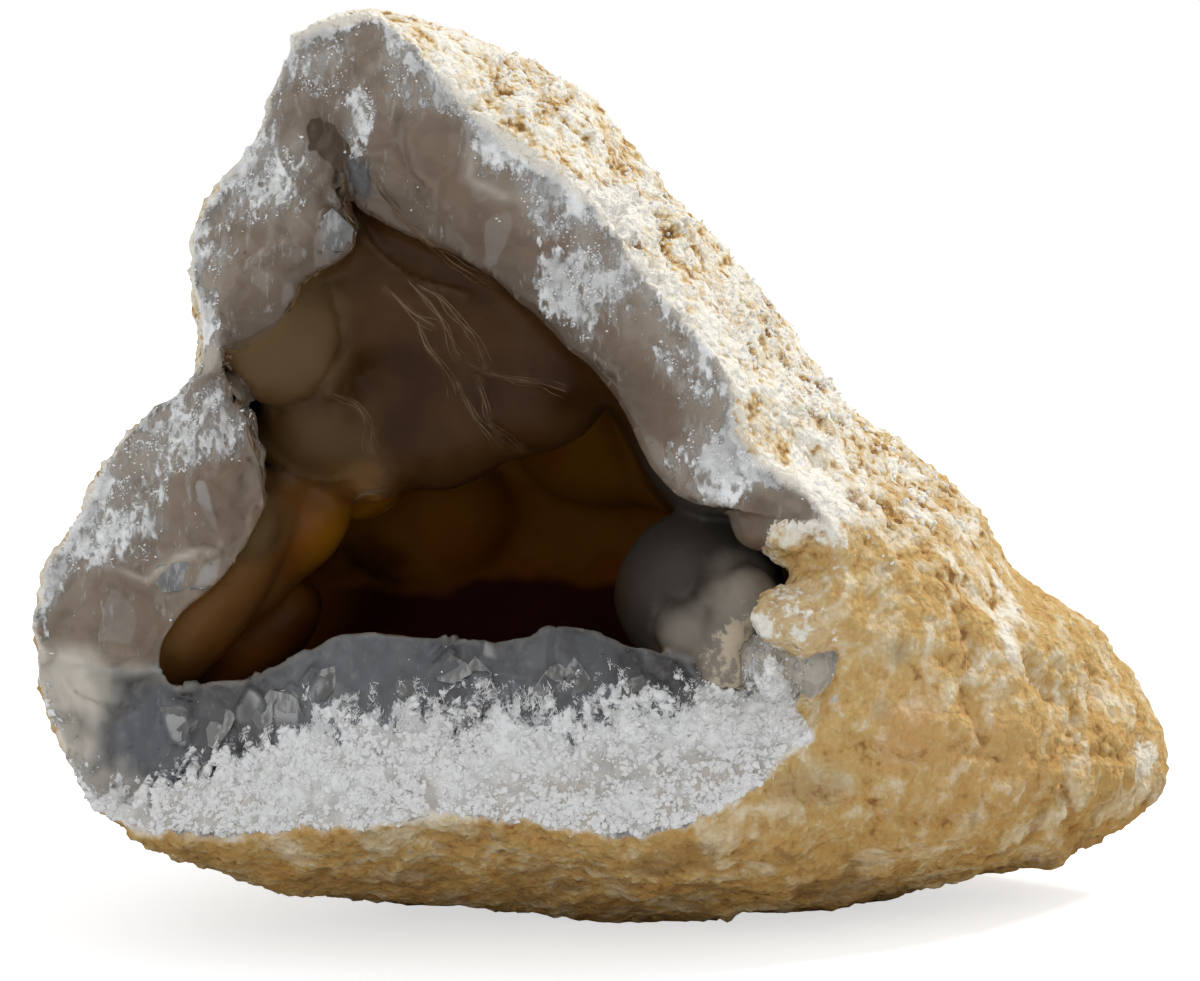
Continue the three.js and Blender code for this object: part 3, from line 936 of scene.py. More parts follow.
@dataclass
class Stone:
    """The whole nodule as one mesh."""

    name: str = "chalcedony_stone"
    voxel: float = 0.00045
    triangles: int = 194_000
    lobe_detail: int = 5
    weld_rounds: int = 3
    hollow_rounds: int = 70
    seed: int = 7
    lobe_reach: float = 1.12
    growth_gap: float = 1.2  # millimetres off the loft from which a point is on a growth
    border_rounds: int = 3
    waist_of_wall: float = 0.0325  # the left wall turns to the bottom wall at this height
    waist_blend: float = 0.0006
    far_side: float = 0.04  # patches behind this keep off what hangs in front of them
    scallops: int = 110
    scallop_radii: tuple[float, float] = (9, 24)  # millimetres, as the two below
    scallop_bites: tuple[float, float] = (0.15, 0.5)
    scallop_depth: float = 0.7
    streak_slope: float = -38.0  # degrees
    streak_stretch: float = 0.3
    plain_levels: int = 20
    plain_weight: float = 3.0
    loft: Loft = field(default_factory=Loft)

    def build(self) -> tuple[bpy.types.Object, Skin]:
        """Makes the stone.

        Returns:
            Its object, and its skin before thinning, for grains to be strewn on.
        """
        obj = self.fused()
        skin = Skin(obj.data)
        skin.relax(self.weld_rounds, 0.6)
        self.survey(skin)
        skin.relax(self.hollow_rounds, 0.9 * eased(0.8, 4.0, skin.fields["past_lip"]) * skin.fields["soft"])
        self.paint(skin)
        self.chip(skin)
        self.fold(skin)
        self.weather(skin)
        skin.points -= self.origin()
        skin.points[:, 2] = np.maximum(skin.points[:, 2], 0)
        skin.outward = skin.normals()
        skin.store(skin.mesh)
        self.thin(obj, skin)
        return obj, skin

    def origin(self) -> Array:
        """Where the frame has its origin in the net: the middle in plan, at the resting face."""
        low, high = self.loft.points.min((0, 1)), self.loft.points.max((0, 1))
        return np.array([*(low + high)[:2] / 2, BED_LEVEL])

    def fused(self) -> bpy.types.Object:
        """Loft and growths as one closed skin of even small faces."""
        shape = self.loft.bmesh()
        for number, lobe in enumerate(LOBES):
            made = bmesh.ops.create_icosphere(shape, subdivisions=self.lobe_detail, radius=1)["verts"]
            ball = np.array([vert.co[:] for vert in made])
            ball *= (1 + 0.06 * ripple(ball * 10, 9, self.seed + number))[:, None]
            for vert, spot in zip(made, (ball * lobe.half) @ lobe.axes().T + lobe.at):
                vert.co = spot
        obj = in_scene(self.name, meshed(shape, self.name))
        remesh = obj.modifiers.new("fuse", "REMESH")
        remesh.mode = "VOXEL"
        remesh.voxel_size = self.voxel
        baked(obj)
        return obj

    def survey(self, skin: Skin) -> None:
        """Finds out which skin each point is on, how far from the rim and the lip, and by which station.

        Args:
            skin: the stone's skin; it gets the fields past_rim, past_lip, station, share and soft.
        """
        rows, columns = self.loft.points.shape[:2]
        index, gap = nearest(skin.points, self.loft.points.reshape(-1, 3))
        row, column = np.divmod(index, columns)
        zone = self.loft.zones[row].astype(float)
        station = column * len(STATIONS) / self.loft.around
        narrow = (zone == Zone.FACE) & (station > NO_WALL[0]) & (station < NO_WALL[1])
        zone[narrow] = Zone.RIND
        on_growth = gap > self.growth_gap * MM
        for lobe in LOBES:
            span = np.linalg.norm((skin.points - lobe.at) @ lobe.axes() / lobe.half, axis=1)
            inside = (span < self.lobe_reach) & (on_growth | (lobe.zone != Zone.HOLLOW))
            zone = np.where(inside, float(lobe.zone), zone)
        to_rim = nearest(skin.points, self.loft.rim)[1]
        to_lip = nearest(skin.points, self.loft.lip)[1]
        rim_side = np.where(zone == Zone.RIND, to_rim, -to_rim)
        lip_side = np.where(zone == Zone.HOLLOW, to_lip, -to_lip)
        for _ in range(self.border_rounds):
            rim_side, lip_side = skin.averaged(rim_side), skin.averaged(lip_side)
        places = skin.points / MM
        ragged = 1.1 * ripple(places, 5, 15) + 0.6 * ripple(places, 1.6, 16)
        skin.fields["past_rim"] = rim_side / MM + ragged * eased(6, 2, to_rim / MM)
        skin.fields["past_lip"] = lip_side / MM
        skin.fields["station"] = station
        skin.fields["share"] = self.loft.shares[row]
        curtain = eased(0.05, 0.03, skin.points[:, 1]) * eased(0.05, 0.055, skin.points[:, 2])
        far = eased(0.036, 0.044, skin.points[:, 1])
        soft = np.maximum(curtain, 0.06) * eased(0.013, 0.009, skin.points[:, 0])
        skin.fields["soft"] = np.maximum(soft, far)

    def paint(self, skin: Skin) -> None:
        """Sets the tones from the patches, and the sugar and glass of the bottom wall.

        Args:
            skin: the surveyed skin; it gets one field for each tone, and bottom and sugar.
        """
        station, share = skin.fields.pop("station"), skin.fields.pop("share")
        points = skin.points / MM
        uneven = 0.3 * ripple(points, 4.5, 31) + 0.22 * ripple(points, 1.8, 32)
        for tone in Tone:
            skin.fields[tone.value] = np.zeros(len(points))
        behind = eased(0.031, 0.038, skin.points[:, 1])
        for patch in PATCHES:
            near = patch.strength(skin.points, uneven)
            near *= behind if patch.at[1] > self.far_side else 1
            skin.fields[patch.tone.value] = np.maximum(skin.fields[patch.tone.value], near)
        bottom = eased(FIRST_BOTTOM - 0.3, FIRST_BOTTOM + 0.3, station)
        bottom *= eased(LAST_BOTTOM + 0.2, LAST_BOTTOM - 0.2, station)
        waist = self.waist_of_wall + MM * (1.3 * ripple(points, 7, 33) + 0.4 * ripple(points, 2, 36))
        below = eased(self.waist_blend, -self.waist_blend, skin.points[:, 2] - waist)
        bottom *= np.where(station > WAIST_STATION, below, 1)
        bottom *= eased(0.5, -0.3, skin.fields["past_rim"]) * eased(0.3, -0.3, skin.fields["past_lip"])
        upright = points * [1, 1, 0.3]
        needles = 0.55 * ripple(upright, 2.2, 34) + 0.45 * ripple(upright, 1.0, 35)
        needles += 0.5 * ripple(points * [1, 1, 0.6], 8, 38)
        starts = np.interp(station, SUGAR_STATIONS, SUGAR_STARTS)
        sugar = eased(-0.16, 0.24, share - starts - 0.04 + 0.32 * needles) * bottom
        skin.fields["sugar"] = sugar
        skin.fields["cool"] *= bottom * (1 - sugar)
        skin.fields["bottom"] = bottom

    def chip(self, skin: Skin) -> None:
        """Cuts the flat facets, sinks the dents and bites shallow scallops out of the broken wall.

        Args:
            skin: the painted skin; its points move, and its field hole takes in the dark dents, whose dark
                brown is partly painted shade.
        """
        for facet in FACETS:
            out = np.array(Vector(facet.out).normalized())
            offset = skin.points - facet.at
            past = offset @ out
            cut = (past > 0) & (np.linalg.norm(offset, axis=1) < facet.reach)
            skin.points[cut] -= past[cut, None] * out
        sink, hole = np.zeros(len(skin.points)), skin.fields["hole"]
        jagged = 0.4 * ripple(skin.points / MM, 1.9, 37)
        for dent in DENTS:
            offset = (skin.points - dent.at) / dent.reach * [1, 0.25, 1]
            near = eased(1, 0.5, np.linalg.norm(offset, axis=1) + jagged)
            sink = np.maximum(sink, dent.depth * near)
            hole[:] = np.maximum(hole, dent.dark * near)
        skin.points[:, 1] += sink
        glass = (skin.fields["past_rim"] < -1) & (skin.fields["past_lip"] < 0.3)
        glass &= skin.fields["sugar"] < 0.4
        draw = np.random.default_rng(self.seed)
        face = self.loft.points[self.loft.zones == Zone.FACE]
        for _ in range(self.scallops):
            row, column = draw.integers(face.shape[0]), draw.integers(face.shape[1])
            lean = draw.normal(0, 0.4, 3)
            out = np.array([lean[0], -1, lean[2]])
            out /= np.linalg.norm(out)
            radius = draw.uniform(*self.scallop_radii) * MM
            bite = draw.uniform(*self.scallop_bites) * MM
            offset = skin.points - (face[row, column] + out * (radius - bite))
            along = offset @ out
            apart = np.linalg.norm(offset - along[:, None] * out, axis=1)
            floor = -np.sqrt(np.maximum(radius**2 - apart**2, 0))
            cut = np.clip(along - floor, 0, self.scallop_depth * MM) * (apart < radius) * (along < 0)
            skin.points -= (cut * glass)[:, None] * out

    def fold(self, skin: Skin) -> None:
        """Raises the thin folds of the curtain, cuts the creases of the rind and notes where they are.

        Args:
            skin: the chipped skin; it gets the fields line, crease, ridge and cleft.
        """
        fields = skin.fields
        inner = (skin.points[:, 1] < 0.04) & (fields["past_lip"] > -14) & (fields["past_rim"] < -3)
        outer = (skin.points[:, 1] < 0.05) & (fields["past_rim"] > 1.5)
        broken = (fields["past_rim"] < -0.3) & (fields["past_lip"] < -0.3)
        lift = np.zeros(len(skin.points))
        kinds = {
            "line": (FOLDS, inner),
            "crease": (CREASES, outer),
            "ridge": (RIDGES, broken),
            "cleft": (CLEFTS, broken),
        }
        for name, (folds, where) in kinds.items():
            fields[name] = np.zeros(len(skin.points))
            fields[name][where], raised = traced(folds, skin.points[where])
            lift[where] += raised
        skin.points += skin.normals() * lift[:, None]

    def weather(self, skin: Skin) -> None:
        """Raises and lowers the skin: crumbling rind, sugary or glassy broken wall, gently wavy hollow.

        Args:
            skin: the folded skin; it gets the fields relief and tint.
        """
        fields, points = skin.fields, skin.points / MM
        on_rind = eased(-0.3, 0.9, fields["past_rim"])
        in_hollow = eased(-0.4, 1.2, fields["past_lip"]) * (1 - on_rind)
        on_face = np.clip(1 - on_rind - in_hollow, 0, 1)
        rind, rind_relief = self.crumbled(skin)
        face, face_relief = self.broken(skin)
        hollow = 0.2 * ripple(points, 8, 61) + 0.08 * ripple(points, 3.5, 62)
        fields["relief"] = np.where(fields["past_rim"] > 0, rind_relief, face_relief)
        height = on_rind * rind + on_face * face + in_hollow * hollow
        skin.points += skin.normals() * (height * MM)[:, None]

    def crumbled(self, skin: Skin) -> tuple[Array, Array]:
        """Height of the crumbling rind.

        Args:
            skin: the folded skin.

        Returns:
            The height in millimetres, and the relief that the rind's colour follows, from -1 to 1; its pits,
            holes and creases come out darker in that colour, partly as painted shade.
        """
        fields, points = skin.fields, skin.points / MM
        calm = 1 - 0.6 * fields["smooth"]
        seen = eased(0.055, 0.035, skin.points[:, 1])
        clusters = np.maximum(eased(0.12, 0.42, ripple(points, 13, 41)) * 0.8, fields["pits"])
        clusters *= 0.35 + 0.65 * eased(40, 58, points[:, 2])
        flaky, flaky_inside, _ = shards(points @ self.grain_of_rind() * [1, 1, 0.8], 9.0, 50)
        flakes = 0.9 * flaky * flaky_inside * eased(0.052, 0.036, skin.points[:, 2])
        crumbs = billow(points + 0.8 * ripple(points, 4, 39)[:, None], 4.6, 5, 43, 0.62)
        gaps = ripple(points * [1, 1, 1.4], 2.6, 42) + 0.5 * ripple(points, 1.1, 47)
        holes = eased(0.12, 0.5, gaps) * clusters
        lean, inside, _ = shards(points * [1, 1, 1.4], 5.0, 48)
        streaks = billow(points @ self.grain_of_rind(), 2.4, 3, 49, 0.6)
        crumbs = crumbs * (1 - 0.75 * fields["smooth"]) + streaks * 0.6 * fields["smooth"]
        detail = (crumbs - 0.45) * (0.8 + 0.4 * clusters) * calm + 0.5 * lean * inside * calm
        grit = billow(points, 0.95, 2, 46, 0.7) - 0.3
        lumps = ripple(points, 12, 40) + 0.5 * ripple(points, 6, 41)
        height = 0.9 * lumps + detail + flakes - holes + 0.4 * grit * calm * seen
        return height, np.clip(crumbs - 0.5 + 0.5 * grit - holes - 0.8 * fields["crease"], -1, 1)

    def broken(self, skin: Skin) -> tuple[Array, Array]:
        """Height of the broken wall: splintered glass, snowy frost and clumps of sugar.

        Args:
            skin: the folded skin; it gets the field tint, a value that each splinter has of its own.

        Returns:
            The height in millimetres, and the relief that the sugar's colour follows, from -1 to 1; the sugar
            is painted whiter on its clumps and darker between them, partly as shade.
        """
        fields, points = skin.fields, skin.points / MM
        glass_lean, glass_inside, tint = shards(points * [1.5, 1, 0.75], 6.0, 51)
        fields["tint"] = tint * glass_inside
        rimmed = fields["frost"] + eased(-2.5, -0.3, fields["past_rim"]) * 0.6
        frost = np.clip(rimmed, 0, 1) * (1 - fields["clear"])
        snow = 0.5 * billow(points, 2.6, 3, 57, 0.62) - 0.15
        chunks, chunk_inside, _ = shards(points * [1, 1, 0.8], 2.6, 55)
        clumps = billow(points * [1, 1, 0.75], 5.0, 5, 53, 0.6)
        sugar = 1.1 * clumps - 0.45 + 0.25 * chunks * chunk_inside
        facets = glass_lean * glass_inside * (0.55 + 0.5 * fields["bottom"]) * (1 - 0.8 * fields["clear"])
        steps = (tint - 0.35) * eased(0.05, 0.3, glass_inside) * fields["pale"] * 1.5
        small_lean, small_inside, _ = shards(points * [1.2, 1, 1], 2.4, 56)
        splits = 0.3 * small_lean * small_inside * (1 - 0.85 * fields["clear"])
        smooth_glass = 0.3 * ripple(points, 9, 59) + facets + steps + splits
        height = sugar * fields["sugar"] + (1 - fields["sugar"]) * (smooth_glass + frost * snow)
        return height, np.clip(1.4 * (clumps - 0.55), -1, 1)

    def grain_of_rind(self) -> Array:
        """Turns and stretches places so that noise runs in streaks from upper left to lower right.

        Returns:
            A matrix to multiply places with, shape (3, 3).
        """
        turn = math.radians(self.streak_slope)
        along = np.array([math.cos(turn), 0, math.sin(turn)])
        across = np.array([-math.sin(turn), 0, math.cos(turn)])
        return np.stack([self.streak_stretch * along, np.array([0, 1, 0]), across], axis=1)

    def thin(self, obj: bpy.types.Object, skin: Skin) -> None:
        """Brings the mesh under its budget, keeping most triangles where there is most to see.

        Args:
            obj: the stone's object, whose mesh is thinned.
            skin: the finished skin.
        """
        fields = skin.fields
        behind = eased(-0.01, 0.022, skin.points[:, 1])
        under = eased(0.012, 0.002, skin.points[:, 2])
        plain = np.clip(0.18 + 0.6 * behind + 0.3 * under, 0, 1)
        plain = np.where(fields["past_lip"] > 1.5, 0.3 + 0.3 * behind, plain)
        plain = np.where((fields["past_rim"] < 0.5) & (fields["past_lip"] < 1.5), 0.1, plain)
        group = obj.vertex_groups.new(name="plain")
        order = np.round(plain * self.plain_levels).astype(int)
        for level in np.unique(order):
            group.add(np.flatnonzero(order == level).tolist(), level / self.plain_levels, "REPLACE")
        faces = sum(len(polygon.vertices) - 2 for polygon in obj.data.polygons)
        thinner = obj.modifiers.new("thin", "DECIMATE")
        thinner.ratio = self.triangles / faces
        thinner.use_collapse_triangulate = True
        thinner.vertex_group = "plain"
        thinner.vertex_group_factor = self.plain_weight
        mesh = baked(obj)
        mesh.shade_smooth()
        LOG.info("%s: %d triangles of %d", self.name, len(mesh.polygons), faces)


# -------------------- node trees


class Tree:
    """A node tree that is filled one node at a time."""

    def __init__(self, tree: bpy.types.NodeTree) -> None:
        """Starts on an empty tree."""
        self.tree = tree
        self.tree.nodes.clear()

    def fill(self, node: bpy.types.Node, inputs: dict) -> None:
        """Links or sets inputs of a node.

        Args:
            node: the node.
            inputs: value or output socket for each input, by name or number.
        """
        for key, value in inputs.items():
            if isinstance(value, Socket):
                self.tree.links.new(value, node.inputs[key])
            else:
                node.inputs[key].default_value = value

    def put(self, kind: str, inputs: dict | None = None, **settings: object) -> bpy.types.Node:
        """Adds a node.

        Args:
            kind: the node's type name.
            inputs: value or output socket for each input, by name or number.
            settings: the node's own properties.

        Returns:
            The node.
        """
        node = self.tree.nodes.new(kind)
        for key, value in settings.items():
            setattr(node, key, value)
        self.fill(node, inputs or {})
        return node

    def field(self, name: str) -> Socket:
        """A point attribute of the mesh."""
        return self.put("ShaderNodeAttribute", attribute_name=name).outputs["Fac"]

    def place(self) -> Socket:
        """Object coordinates."""
        return self.put("ShaderNodeTexCoord").outputs["Object"]

    def spot(self) -> bpy.types.NodeOutputs:
        """Object coordinates one by one, as X, Y and Z."""
        return self.put("ShaderNodeSeparateXYZ", {0: self.place()}).outputs

    def combined(self, kind: str, one: object, two: object, clamp: bool = False) -> Socket:
        """A Math node of that kind."""
        return self.put("ShaderNodeMath", {0: one, 1: two}, operation=kind, use_clamp=clamp).outputs[0]

    def plus(self, one: object, two: object, clamp: bool = False) -> Socket:
        """Two values added up."""
        return self.combined("ADD", one, two, clamp)

    def times(self, one: object, two: object, clamp: bool = False) -> Socket:
        """Two values multiplied."""
        return self.combined("MULTIPLY", one, two, clamp)

    def scaled(self, value: object, factor: float, offset: float = 0.0) -> Socket:
        """Value times factor plus offset."""
        inputs = {0: value, 1: factor, 2: offset}
        return self.put("ShaderNodeMath", inputs, operation="MULTIPLY_ADD").outputs[0]

    def between(self, value: object, low: object, high: object) -> Socket:
        """Smooth step of a value from 0 at low to 1 at high."""
        inputs = {"Value": value, "From Min": low, "From Max": high}
        return self.put("ShaderNodeMapRange", inputs, interpolation_type="SMOOTHSTEP").outputs["Result"]

    def ranged(self, value: object, low: float, high: float) -> Socket:
        """A value from 0 to 1 spread out from low to high."""
        inputs = {"Value": value, "To Min": low, "To Max": high}
        return self.put("ShaderNodeMapRange", inputs).outputs["Result"]

    def mix(self, share: object, one: object, two: object, how: str = "MIX") -> Socket:
        """Colour between two others."""
        inputs = {0: share, 6: one, 7: two}
        return self.put("ShaderNodeMix", inputs, data_type="RGBA", blend_type=how).outputs[2]

    def tint(self, base: object, share: object, color: object, amount: float) -> Socket:
        """Base with amount times share of another colour in it."""
        return self.mix(self.scaled(share, amount), base, color)

    def ramp(self, share: object, stops: list[tuple[float, Color]]) -> Socket:
        """Colour from a ramp.

        Args:
            share: where to read the ramp.
            stops: position and colour of each stop.

        Returns:
            The colour.
        """
        node = self.put("ShaderNodeValToRGB", {"Fac": share})
        elements = node.color_ramp.elements
        while len(elements) < len(stops):
            elements.new(0.5)
        for element, (position, color) in zip(elements, stops):
            element.position = position
            element.color = color
        return node.outputs["Color"]


# -------------------- grains


@dataclass(frozen=True)
class Strewing:
    """Grains of one kind, strewn over the skin."""

    name: str
    count: int
    smallest: float
    largest: float
    flat: float
    sink: float
    seed: int
    scatter: float = 0.00015

    def grain(self) -> bmesh.types.BMesh:
        """One grain of size 1."""
        raise NotImplementedError

    def density(self, fields: Fields, points: Array) -> Array:
        """How thickly grains lie.

        Args:
            fields: what is where on the skin.
            points: points of the skin, in millimetres.

        Returns:
            One value a point, of any scale.
        """
        raise NotImplementedError

    def amount(self) -> int:
        """How many grains are strewn."""
        return self.count

    def turns(self, draw: np.random.Generator) -> Array:
        """The grains' turns, as angles about the three axes."""
        return draw.uniform(-math.pi, math.pi, (self.amount(), 3))

    def strew(self, skin: Skin) -> bpy.types.Object:
        """Lays the grains on the skin.

        Args:
            skin: the stone's skin before thinning.

        Returns:
            The object that holds all the grains as one mesh.
        """
        draw = np.random.default_rng(self.seed)
        weight = self.density(skin.fields, skin.points / MM)
        chosen = np.sort(draw.choice(len(weight), self.amount(), p=weight / weight.sum()))
        size = self.smallest + (self.largest - self.smallest) * draw.random(len(chosen)) ** 3
        spots = skin.points[chosen] - skin.outward[chosen] * (size * self.sink)[:, None]
        spots += draw.normal(0, self.scatter, spots.shape)
        spots[:, 2] = np.maximum(spots[:, 2], self.largest)
        seeds = bmesh.new()
        for spot in spots:
            seeds.verts.new(spot)
        mesh = meshed(seeds, self.name)
        turns = self.turns(draw)
        scales = size[:, None] * np.ones(3)
        scales[:, 1] *= draw.uniform(self.flat, 1, len(chosen))
        for name, values in (("turn", turns), ("size", scales)):
            attribute = mesh.attributes.new(name, "FLOAT_VECTOR", "POINT")
            attribute.data.foreach_set("vector", values.astype(np.float32).ravel())
        skin.store(mesh, chosen)
        obj = in_scene(self.name, mesh)
        grain = bpy.data.objects.new(self.name + "_grain", meshed(self.grain(), self.name + "_grain"))
        nodes = obj.modifiers.new("strew", "NODES")
        nodes.node_group = self.strewer(grain)
        mesh = baked(obj)
        bpy.data.objects.remove(grain)
        LOG.info("%s: %d triangles", self.name, len(mesh.polygons))
        return obj

    def strewer(self, grain: bpy.types.Object) -> bpy.types.NodeTree:
        """Geometry nodes that put the grain on every point, turned and sized by the point's own values.

        Args:
            grain: the object that holds the grain.

        Returns:
            The node group.
        """
        group = bpy.data.node_groups.new(self.name, "GeometryNodeTree")
        group.interface.new_socket("Geometry", in_out="INPUT", socket_type="NodeSocketGeometry")
        group.interface.new_socket("Geometry", in_out="OUTPUT", socket_type="NodeSocketGeometry")
        tree = Tree(group)
        given = tree.put("NodeGroupInput").outputs["Geometry"]
        source = tree.put("GeometryNodeObjectInfo", {"Object": grain}).outputs["Geometry"]
        values = {}
        for name in ("turn", "size"):
            read = tree.put("GeometryNodeInputNamedAttribute", {"Name": name}, data_type="FLOAT_VECTOR")
            values[name] = read.outputs["Attribute"]
        turn = tree.put("FunctionNodeEulerToRotation", {"Euler": values["turn"]}).outputs["Rotation"]
        inputs = {"Points": given, "Instance": source, "Rotation": turn, "Scale": values["size"]}
        placed = tree.put("GeometryNodeInstanceOnPoints", inputs).outputs["Instances"]
        real = tree.put("GeometryNodeRealizeInstances", {"Geometry": placed}).outputs["Geometry"]
        tree.put("NodeGroupOutput", {"Geometry": real})
        return group


@dataclass(frozen=True)
class Crystals(Strewing):
    """Stubby quartz crystals: six-sided, pointed at both ends."""

    def grain(self) -> bmesh.types.BMesh:
        """Two six-sided cones, base to base."""
        shape = bmesh.new()
        bmesh.ops.create_uvsphere(shape, u_segments=6, v_segments=2, radius=0.5)
        for vert in shape.verts:
            vert.co.z *= 1.5
        bmesh.ops.triangulate(shape, faces=shape.faces[:])
        return shape

    def density(self, fields: Fields, points: Array) -> Array:
        """Thick on the sugar, in clumps."""
        face = (fields["past_rim"] < -0.2) & (fields["past_lip"] < -0.4)
        clumps = eased(-0.3, 0.4, ripple(points, 1.8, 81)) * eased(-0.45, 0.25, ripple(points, 6.5, 85))
        return face * fields["sugar"] ** 2 * (0.1 + clumps)


@dataclass(frozen=True)
class Needles(Strewing):
    """Sprays of quartz needles that shoot up out of the sugar into the glass above it."""

    foot: float = 0.085
    tip: float = 0.015

    def grain(self) -> bmesh.types.BMesh:
        """A slender five-sided point, one long."""
        shape = bmesh.new()
        ends = {"radius1": self.foot, "radius2": self.tip, "cap_ends": True, "cap_tris": True}
        bmesh.ops.create_cone(shape, segments=5, depth=1, **ends)
        return shape

    def turns(self, draw: np.random.Generator) -> Array:
        """The needles' turns: upright, fanned out to both sides."""
        turns = draw.normal(0, 0.4, (self.amount(), 3))
        turns[:, 1] = draw.normal(0, 0.7, self.amount())
        return turns

    def density(self, fields: Fields, points: Array) -> Array:
        """Along the upper edge of the sugar."""
        start = eased(0.03, 0.3, fields["sugar"]) * eased(0.95, 0.5, fields["sugar"])
        clumps = eased(0.0, 0.4, ripple(points * [1, 1, 0.5], 2.2, 84))
        inside = eased(-58, -52, points[:, 0])
        return (fields["past_lip"] < -1.2) * start * fields["bottom"] * (0.1 + clumps) * inside


@dataclass(frozen=True)
class Splinters(Crystals):
    """Splinters of crushed quartz, caught on the frosted glass."""

    def density(self, fields: Fields, points: Array) -> Array:
        """Over the frost, and thinly along the rim."""
        face = (fields["past_rim"] < -0.2) & (fields["past_lip"] < -0.6) & (fields["sugar"] < 0.5)
        frost = np.clip(fields["frost"] - fields["clear"], 0, 1) ** 1.5
        rim = eased(-2.2, -0.6, fields["past_rim"]) * 0.25
        clumps = eased(0.0, 0.35, ripple(points * [1, 1, 0.6], 1.5, 82))
        return face * (frost + rim + 0.002) * (0.03 + clumps)


@dataclass(frozen=True)
class Crumbs(Strewing):
    """Crumbs of rind."""

    def grain(self) -> bmesh.types.BMesh:
        """A coarse ball."""
        shape = bmesh.new()
        bmesh.ops.create_icosphere(shape, subdivisions=1, radius=0.5)
        return shape

    def density(self, fields: Fields, points: Array) -> Array:
        """Over the upper part of the seen side of the rind, thickest where it crumbles."""
        seen = eased(35, 12, points[:, 1]) * eased(48, 60, points[:, 2])
        clumps = eased(0.0, 0.4, ripple(points, 3.0, 83)) + 1.2 * fields["pits"]
        return (fields["past_rim"] > 0.8) * seen * (0.06 + clumps) * (1 - 0.7 * fields["smooth"])


QUARTZ_SUGAR = Crystals("quartz_sugar", 14_000, 0.00025, 0.0013, 0.6, 0.2, 21)
QUARTZ_NEEDLES = Needles("quartz_needles", 9_000, 0.0004, 0.0014, 0.6, 0.1, 24)
QUARTZ_SPLINTERS = Splinters("quartz_splinters", 9_000, 0.00012, 0.00045, 0.3, 0.3, 23)
RIND_CRUMBS = Crumbs("rind_crumbs", 8_500, 0.0002, 0.0008, 0.4, 0.25, 22)


@dataclass(frozen=True)
class Front:
    """The finished stone's surface, as lines from the front meet it, and the frame's origin in the net."""

    surface: BVHTree
    origin: Array

    def struck(self, across: float, up: float) -> tuple[Vector | None, Vector | None]:
        """The place where a line at that place across and up in the net meets the stone, and the way out."""
        start = Vector((across - self.origin[0], IN_FRONT, up - self.origin[2]))
        return self.surface.ray_cast(start, Vector((0, 1, 0)))[:2]


@dataclass
class Splits:
    """The angular chips of the broken wall, as one mesh."""

    name: str = "glass_chips"
    thickness: float = 0.0014
    proud: float = 0.00012
    uneven: float = 0.14
    reach: float = 0.002
    seed: int = 41

    def build(self, front: Front) -> bpy.types.Object:
        """Sets every chip into the surface it lies in.

        Args:
            front: the stone's surface.

        Returns:
            The object that holds all the chips.
        """
        draw = np.random.default_rng(self.seed)
        shape = bmesh.new()
        for chip in CHIPS:
            place, outward = self.seat(chip, front)
            facing = (outward + Vector(draw.normal(0, 0.06, 3))).normalized()
            turn = facing.to_track_quat("Z", "Y").to_matrix().to_4x4()
            lean = Matrix.Rotation(math.radians(-chip.lean), 4, "Z")
            size = (chip.width, chip.height, self.thickness)
            ends = {"radius1": 0.5, "radius2": 0.47, "cap_ends": True}
            made = bmesh.ops.create_cone(shape, segments=7, depth=1, **ends)["verts"]
            for vert in made:
                vert.co += Vector((*draw.normal(0, self.uneven, 2) * 0.6, draw.normal(0, self.uneven) * 0.3))
                vert.co = Vector([part * full for part, full in zip(vert.co, size)])
            sink = facing * (self.proud - self.thickness / 2)
            bmesh.ops.transform(shape, matrix=Matrix.Translation(place + sink) @ turn @ lean, verts=made)
        bmesh.ops.triangulate(shape, faces=shape.faces[:])
        bmesh.ops.recalc_face_normals(shape, faces=shape.faces[:])
        return in_scene(self.name, meshed(shape, self.name))

    def seat(self, chip: Chip, front: Front) -> tuple[Vector, Vector]:
        """Finds the surface under a chip.

        Args:
            chip: the chip.
            front: the stone's surface.

        Returns:
            The mean place and the mean outward direction of the foremost surface there.
        """
        hits = []
        for right, up in product((-0.35, 0, 0.35), repeat=2):
            hit, outward = front.struck(chip.across + right * chip.width, chip.up + up * chip.height)
            if hit is not None:
                hits.append((hit, outward))
        nearest_one = min(hit.y for hit, _ in hits)
        close = [(hit, outward) for hit, outward in hits if hit.y - nearest_one < self.reach]
        place = sum((hit for hit, _ in close), Vector()) / len(close)
        return place, sum((outward for _, outward in close), Vector()).normalized()


